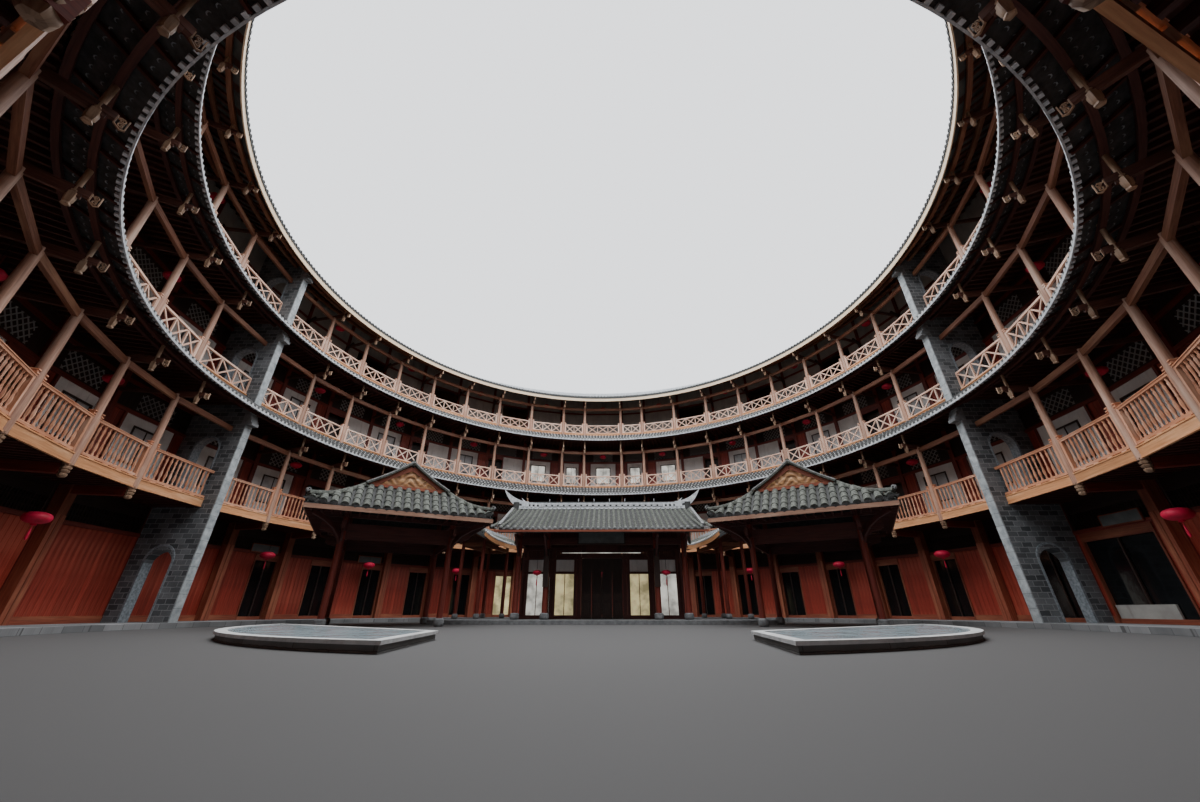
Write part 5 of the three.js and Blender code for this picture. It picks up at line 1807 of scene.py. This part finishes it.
def curved_board(s):
    """The eave board follows the same lift as the tiles above it."""
    y = np.linspace(-WING_LONG / 2, WING_LONG / 2, 17)
    lift = 0.2 * (np.abs(y) / (WING_LONG / 2)) ** 3
    x0, x1 = s * WING_HALF - 0.015, s * WING_HALF + 0.015
    z0, z1 = WING_Z - 0.1, WING_Z + WING_T - 0.02
    rows = np.empty((17, 4, 3))
    for j, (x, z) in enumerate([(x0, z0), (x0, z1), (x1, z1), (x1, z0)]):
        rows[:, j] = np.stack([x + 0 * y, y, z + lift], -1)
    return sweep(rows, tone=0.6)


wing_rows = np.linspace(-WING_LONG / 2 + 0.1, WING_LONG / 2 - 0.1, 24)
wing_pitch = wing_rows[1] - wing_rows[0]
wing_tiles = merge([tiled(wing_slope(s), wing_rows, np.full(24, 0.97), 0.14, 5) for s in (-1, 1)])
wing_ends = merge([eave_ends(wing_slope(s), wing_rows, 0.14, wing_pitch) for s in (-1, 1)])
wing_top = WING_Z + WING_RISE + WING_T
wing_ridge = box(-0.09, 0.09, -WING_LONG / 2, WING_LONG / 2, wing_top - 0.04, wing_top + 0.16, 0.5)
wing = {
    "tiles": (wing_tiles, moss_tile, "roof_tile", 40),
    "tile_ends": (wing_ends, lime_edge, "ridge_tile", 40),
    "eave_boards": (merge([curved_board(s) for s in (-1, 1)]), fascia_wood, "pale_timber", None),
    "ridge": (wing_ridge, ridge_lime, "ridge_tile", None),
}
posts, post_drums, ties = [], [], []
for x in (-0.55, 0.55):
    for y in (-WING_LONG / 2 + 0.9, WING_LONG / 2 - 0.9):
        shaft, drum = round_column(x, y, PLINTH_TOP, WING_Z + WING_RISE - 0.325, 0.088, 0.14, 0.22)
        posts.append(shaft)
        post_drums.append(drum)
    ties.append(box(x - 0.05, x + 0.05, -1.55, 1.55, WING_Z - 0.26, WING_Z - 0.08, 0.4))
for y in (-1.55, 1.55):
    ties.append(box(-0.55, 0.55, y - 0.05, y + 0.05, WING_Z - 0.26, WING_Z - 0.08, 0.4))
for y in np.arange(-2.3, 2.31, 0.23):
    for s in (-1, 1):
        ties.append(bar((s * 0.05, y, WING_Z + WING_RISE - 0.07), (s * 0.93, y, WING_Z - 0.035), 0.05, 0.05,
                        tone=0.5))
wing["posts"] = (merge(posts), red_wood, "red_timber", 40)
wing["drums"] = (merge(post_drums), trim_stone, "grey_stone", 40)
wing["ties"] = (merge(ties), beam_wood, "dark_timber", None)
WING_SPLAY = 0.85                      # the far end of a side roof stands this much nearer to the axis
lean = math.degrees(math.atan(WING_SPLAY / WING_LONG))
wing_middle = ((5.7 + 4.85) / 2 + WING_HALF, 8.95, 0)
for name, side in (("east", 1), ("west", -1)):
    for part, (form, material, slot, smooth) in wing.items():
        placed = moved(form, wing_middle, lean)
        placed = placed if side > 0 else mirrored(placed)
        piece(f"hall_{name}_side_{part}", placed, material, smooth=smooth,
              replaces=[f"hall_{name}_side_frame"] if part == "posts" else ())
    repaint(f"hall_{name}_side_roof", skirt_tile)

# %% [markdown]
# ## Pavilions
# Each pavilion is an open square of four columns under a hip-and-gable roof, turned to face the gate. The
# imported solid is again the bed. The thick tube tiles lie on it, and the eave lifts a little at the corners.
# One pavilion is made at the origin with its front to -Y, and its mirror image gives the other.

# %% Pavilion roof
PAV_EAVE, PAV_GABLE, PAV_SHOULDER = 3.0, 1.9, 1.35
PAV_EAVE_Z, PAV_SHOULDER_Z, PAV_RIDGE_Z = 3.6, 4.6, 5.5
SIDE_SLOPE = (PAV_SHOULDER_Z - PAV_EAVE_Z) / (PAV_EAVE - PAV_SHOULDER)
FRONT_RISE = PAV_SHOULDER_Z - 0.04 - PAV_EAVE_Z
HIP = FRONT_RISE / (PAV_EAVE - PAV_GABLE) / SIDE_SLOPE


def corner_lift(x, t):
    return 0.16 * (np.abs(x) / PAV_EAVE) ** 5 * (1 - t) ** 2


def front_slope(x, t):
    """From the eave to the foot of the gable."""
    y = -PAV_EAVE + (PAV_EAVE - PAV_GABLE) * t
    return np.stack([x, y, PAV_EAVE_Z + FRONT_RISE * t + corner_lift(x, t) + 0.01], -1)


def back_slope(x, t):
    return front_slope(x, t) * (-1, -1, 1)


def side_slope(sign):
    """From the side eave over the shoulder to the ridge."""
    def surface(x, t):
        away = PAV_EAVE * (1 - t)
        z = np.where(away > PAV_SHOULDER, PAV_EAVE_Z + (PAV_EAVE - away) * SIDE_SLOPE,
                     PAV_SHOULDER_Z + (PAV_SHOULDER - away) * (PAV_RIDGE_Z - PAV_SHOULDER_Z) / PAV_SHOULDER)
        return np.stack([sign * away, x if sign > 0 else -x, z + corner_lift(x, t) + 0.01], -1)
    return surface


front_rows = np.linspace(-PAV_EAVE + 0.15, PAV_EAVE - 0.15, 19)
front_pitch = front_rows[1] - front_rows[0]
front_reach = np.clip((PAV_EAVE - np.abs(front_rows)) / (PAV_EAVE - PAV_GABLE) / HIP, 0.12, 1.0)
side_reach = np.where(np.abs(front_rows) > PAV_GABLE, (PAV_EAVE - np.abs(front_rows)) * HIP / PAV_EAVE, 0.97)
side_reach = np.clip(side_reach, 0.06, 0.97)
TUBE = 0.25
roof_tiles = merge([
    tiled(front_slope, front_rows, front_reach, TUBE, 4, 0.84, 6),
    tiled(back_slope, front_rows, front_reach, TUBE, 4, 0.84, 6),
    tiled(side_slope(1), front_rows, side_reach, TUBE, 10, 0.84, 5),
    tiled(side_slope(-1), front_rows, side_reach, TUBE, 10, 0.84, 5),
])
roof_ends = merge([eave_ends(f, front_rows, TUBE * 0.95, front_pitch)
                   for f in (front_slope, back_slope, side_slope(1), side_slope(-1))])


def ridge_strip(points, w, h, tone=0.5):
    """A rounded ridge carried along a path of points, upright all the way."""
    path = np.asarray(points, float)
    t = np.gradient(path, axis=0)
    t /= np.linalg.norm(t, axis=1)[:, None]
    s = np.cross(t, (0, 0, 1))
    s /= np.linalg.norm(s, axis=1)[:, None]
    u = np.cross(s, t)
    outline = [(0.5, 0), (0.5, 0.5), (0.3, 0.9), (0, 1.0), (-0.3, 0.9), (-0.5, 0.5), (-0.5, 0)]
    rows = np.stack([path + s * a * w + u * b * h for a, b in outline], 1)
    return sweep(rows, tone=tone)


def curled_end(at, along, size):
    """A small scroll at the foot of a hip: a strip that coils upwards."""
    coil = scroll(0, 0, size, 1.1, -1.2, 12, 0.09, 0.035)
    a = math.degrees(math.atan2(along[1], along[0])) - 90
    return moved(coil, at, a)


ridges, pale, barge = [], [], []
for s in (-1, 1):
    y = s * (PAV_GABLE + 0.02)
    for side in (-1, 1):
        t = np.linspace(0, 1, 8)[:, None]
        apex = np.array([0.0, y, PAV_RIDGE_Z + 0.06])
        foot = np.array([side * 1.42, y, PAV_SHOULDER_Z + 0.02])
        verge = apex + (foot - apex) * t - np.array([0, 0, 0.05]) * np.sin(np.pi * t)
        ridges.append(ridge_strip(verge, 0.26, 0.12, 0.4))
        pale.append(ridge_strip(verge + np.array([0, s * 0.125, 0.06]), 0.03, 0.04, 0.6))
        pale.append(ridge_strip(verge + np.array([0, 0, 0.11]), 0.05, 0.03, 0.6))
        corner = np.array([side * (PAV_EAVE - 0.02), s * (PAV_EAVE - 0.02), PAV_EAVE_Z + 0.28])
        start = np.array([side * 1.36, s * (PAV_GABLE - 0.05), PAV_SHOULDER_Z + 0.04])
        hip = start + (corner - start) * t - np.array([0, 0, 0.16]) * np.sin(np.pi * t)
        ridges.append(ridge_strip(hip, 0.17, 0.12, 0.35))
        away = (corner - start)[:2] / np.linalg.norm((corner - start)[:2])
        pale.append(curled_end(corner + (away[0] * 0.02, away[1] * 0.02, 0.12), away, 0.07))
        face = s * (PAV_GABLE + 0.03)
        barge.append(bar((0, face, PAV_RIDGE_Z - 0.1), (side * 1.3, face, PAV_SHOULDER_Z + 0.02), 0.05, 0.17,
                         tone=0.4))
    y0, y1 = s * PAV_GABLE - 0.06, s * PAV_GABLE + 0.06
    barge.append(box(-1.36, 1.36, y0, y1, PAV_SHOULDER_Z - 0.03, PAV_SHOULDER_Z + 0.08, 0.7))
ridge_path = [(0, -PAV_GABLE - 0.1, PAV_RIDGE_Z), (0, 0, PAV_RIDGE_Z - 0.02),
              (0, PAV_GABLE + 0.1, PAV_RIDGE_Z)]
ridges.append(ridge_strip(ridge_path, 0.2, 0.22, 0.5))


def carved_gable(y, sign):
    """A grid over a triangle whose depth is a sum of waves along and across, like cut leaves. Each face's
    tone is painted light and shade: lighter where the carving stands out, darker in its hollows.
    """
    n = 64
    u, v = np.meshgrid(np.linspace(-1, 1, n), np.linspace(0, 1, n // 2), indexing="ij")
    x = u * (1 - v)
    z = PAV_SHOULDER_Z + 0.09 + v * 0.62
    swirl = np.sin(24 * np.hypot(x, 1.4 * (z - 4.75)) - 3 * np.arctan2(z - 4.75, np.abs(x) + 0.05))
    leaf = np.sin(19 * x + 5 * np.sin(6 * z)) + np.sin(23 * z - 4 * np.cos(9 * x))
    depth = 0.016 * np.clip(swirl * 0.8 + leaf * 0.9, -1, 1) * np.clip(4 * v * (1 - v) + 0.3, 0, 1)
    front = np.stack([x, y + sign * (0.03 + depth), z], -1)
    back = np.stack([x, y + 0 * x - sign * 0.02, z], -1)
    points = np.concatenate([front.reshape(-1, 3), back.reshape(-1, 3)])
    m = n // 2
    i, j = np.meshgrid(np.arange(n - 1), np.arange(m - 1), indexing="ij")
    quad = np.stack([i * m + j, (i + 1) * m + j, (i + 1) * m + j + 1, i * m + j + 1], -1).reshape(-1, 4)
    rim = np.concatenate([np.arange(n) * m, (n - 1) * m + np.arange(1, m),
                          (np.arange(n - 1)[::-1]) * m + m - 1,
                          np.arange(1, m - 1)[::-1]])
    nxt = np.roll(rim, -1)
    wall = np.stack([rim, rim + n * m, nxt + n * m, nxt], -1)
    faces = np.concatenate([quad, quad[:, ::-1] + n * m, wall])
    if sign > 0:
        faces = faces[:, ::-1]
    uv = np.concatenate([np.stack([x, z], -1).reshape(-1, 2)] * 2)
    # Painted highlight and shade: the tone follows the depth, so the raised parts are lighter and the hollows
    # darker.
    height = np.concatenate([depth.ravel(), 0 * depth.ravel()]) / 0.016
    return {"points": points, "faces": [faces], "uvs": [uv[faces]],
            "tones": [0.5 + 0.7 * height[faces].mean(1)]}


gold = merge([carved_gable(-PAV_GABLE, -1), carved_gable(PAV_GABLE, 1)])
eave_boards = []
for s in (-1, 1):
    y = s * (PAV_EAVE + 0.012)
    eave_boards.append(box(-PAV_EAVE, PAV_EAVE, y - 0.015, y + 0.015, 3.43, 3.57, 0.3))
    eave_boards.append(box(y - 0.015, y + 0.015, -PAV_EAVE, PAV_EAVE, 3.43, 3.57, 0.3))

# %% Pavilion frame
PAV_COLUMN = 1.8
pav_posts, pav_drums, pav_beams = [], [], []
head = PAV_SHOULDER_Z - (PAV_COLUMN + 0.1 - PAV_SHOULDER) * SIDE_SLOPE - 0.162
for x in (-PAV_COLUMN, PAV_COLUMN):
    for y in (-PAV_COLUMN, PAV_COLUMN):
        shaft, drum = round_column(x, y, 0.0, head, 0.105, 0.17, 0.26)
        pav_posts.append(shaft)
        pav_drums.append(drum)
        away = np.array([x, y]) / PAV_COLUMN
        brace = strip([(0.0, 2.45), (0.12, 2.78), (0.42, 3.05), (0.85, 3.25), (1.35, 3.38)], 0.09, 0.13, 0.35)
        pav_beams.append(moved(brace, (x, y, 0), math.degrees(math.atan2(away[1], away[0])) - 90))
        for dx, dy in ((-np.sign(x), 0), (0, -np.sign(y)), (np.sign(x), 0), (0, np.sign(y))):
            knee = strip([(0.0, 2.5), (0.1, 2.74), (0.3, 2.9), (0.62, 2.97)], 0.06, 0.1, 0.4)
            pav_beams.append(moved(knee, (x, y, 0), math.degrees(math.atan2(dy, dx)) - 90))
for u in (-PAV_COLUMN, PAV_COLUMN):
    for low, high in ((2.96, 3.22), (3.42, 3.56)):
        pav_beams.append(box(-2.5, 2.5, u - 0.06, u + 0.06, low, high, 0.4))
        pav_beams.append(box(u - 0.06, u + 0.06, -2.5, 2.5, low, high, 0.4))
    pav_beams.append(box(-1.72, 1.72, u - 0.02, u + 0.02, 2.7, 2.96, 0.3))
    pav_beams.append(box(u - 0.02, u + 0.02, -1.72, 1.72, 2.7, 2.96, 0.3))
for v in np.arange(-2.8, 2.81, 0.28):
    for s in (-1, 1):
        pav_beams.append(bar((v, s * 1.9, 3.50), (v, s * 2.98, 3.42), 0.05, 0.06, tone=0.4))
        pav_beams.append(bar((s * 1.9, v, 3.50), (s * 2.98, v, 3.42), 0.05, 0.06, tone=0.4))

PAV_AT = (8.1, 2.3, 0)                 # the middle of the east pavilion
PAV_TURN = -28.6                       # degrees anticlockwise
PAVILION = {
    "tiles": (roof_tiles, moss_tile, "roof_tile", 50),
    "tile_ends": (roof_ends, skirt_tile, "roof_tile", 50),
    "ridges": (merge(ridges), moss_tile, "ridge_tile", 40),
    "ridge_lines": (merge(pale), pale_tile, "ridge_tile", 40),
    "barge_boards": (merge(barge), pier_wood, "red_timber", None),
    "carved_gables": (gold, gold_carving, "pale_timber", 30),
    "eave_boards": (merge(eave_boards), post_wood, "pale_timber", None),
    "columns": (merge(pav_posts), red_wood, "red_timber", 40),
    "drums": (merge(pav_drums), trim_stone, "grey_stone", 40),
    "beams": (merge(pav_beams), hall_wood, "red_timber", None),
}
for name, side in (("east", 1), ("west", -1)):
    for part, (form, material, slot, smooth) in PAVILION.items():
        placed = moved(form, PAV_AT, PAV_TURN)
        placed = placed if side > 0 else mirrored(placed)
        piece(f"pavilion_{name}_{part}", placed, material, smooth=smooth,
              replaces=[f"pavilion_{name}_frame"] if part == "columns" else ())
    repaint(f"pavilion_{name}_roof", skirt_tile)

# %% [markdown]
# ## Pools
# A pool is a piece of a circle, cut by two straight sides. Its outline is worked out from those three
# lines, drawn in by any distance, so one function gives every edge of the kerb, its wall and the water.

# %% Pools
POOL_R = 9.45
PATH_SIDE_ANGLE, PATH_SIDE_POINT = 6.9, (2.56, -9.33)
FAR_SIDE_ANGLE, FAR_SIDE_POINT = 37.5, (2.9, -6.05)


def pool_outline(inset):
    """From the corner along the path's side to the circle, round the arc, and back along the far side. A
    straight side is a normal n and a number c: the points whose product with n is c."""
    n = 40
    r = POOL_R - inset
    a, b = math.radians(PATH_SIDE_ANGLE), math.radians(FAR_SIDE_ANGLE)
    n1 = np.array([math.cos(a), -math.sin(a)])
    n2 = np.array([-math.sin(b), math.cos(b)])
    c1 = n1 @ PATH_SIDE_POINT + inset
    c2 = n2 @ FAR_SIDE_POINT - inset
    d1, d2 = np.array([n1[1], -n1[0]]), np.array([n2[1], -n2[0]])
    corner = np.linalg.solve(np.stack([n1, n2]), np.array([c1, c2]))
    south = n1 * c1 + d1 * math.sqrt(r * r - c1 * c1)
    east = n2 * c2 + d2 * math.sqrt(r * r - c2 * c2)
    a0, a1 = math.atan2(south[1], south[0]), math.atan2(east[1], east[0])
    t = np.linspace(0, 1, n, endpoint=False)[:, None]
    arc = a0 + (a1 - a0) * t
    curve = r * np.concatenate([np.cos(arc), np.sin(arc)], 1)
    return np.concatenate([corner + (south - corner) * t, curve, east + (corner - east) * t])


def kerb_ring(out_by, in_by, z0, z1):
    outer, inner = pool_outline(out_by), pool_outline(in_by)
    rows = np.empty((len(outer), 4, 3))
    for j, (line, z) in enumerate([(outer, z0), (outer, z1), (inner, z1), (inner, z0)]):
        rows[:, j, :2] = line
        rows[:, j, 2] = z
    return sweep(rows[:, ::-1], loop=True)


def sheet_of(inset, z0, z1):
    line = pool_outline(inset)
    low = np.concatenate([line, np.full((len(line), 1), z0)], 1)
    high = np.concatenate([line, np.full((len(line), 1), z1)], 1)
    return sweep(np.stack([low, high]))


coping = kerb_ring(0.0, 0.2, 0.10, 0.152)
kerb_wall = kerb_ring(0.04, 0.33, 0.0, 0.1)
water = sheet_of(0.201, 0.105, 0.135)
for name in ("east", "west"):
    edge, wall, sheet = (form if name == "east" else mirrored(form) for form in (coping, kerb_wall, water))
    piece(f"pool_{name}_coping", edge, kerb_stone, smooth=40)
    piece(f"pool_{name}_wall", wall, kerb_side, replaces=[f"pool_{name}"], smooth=40)
    piece(f"pool_{name}_water", sheet, pool_water, smooth=40)

print("triangles in new pieces:", sum(count for _, count in MADE))
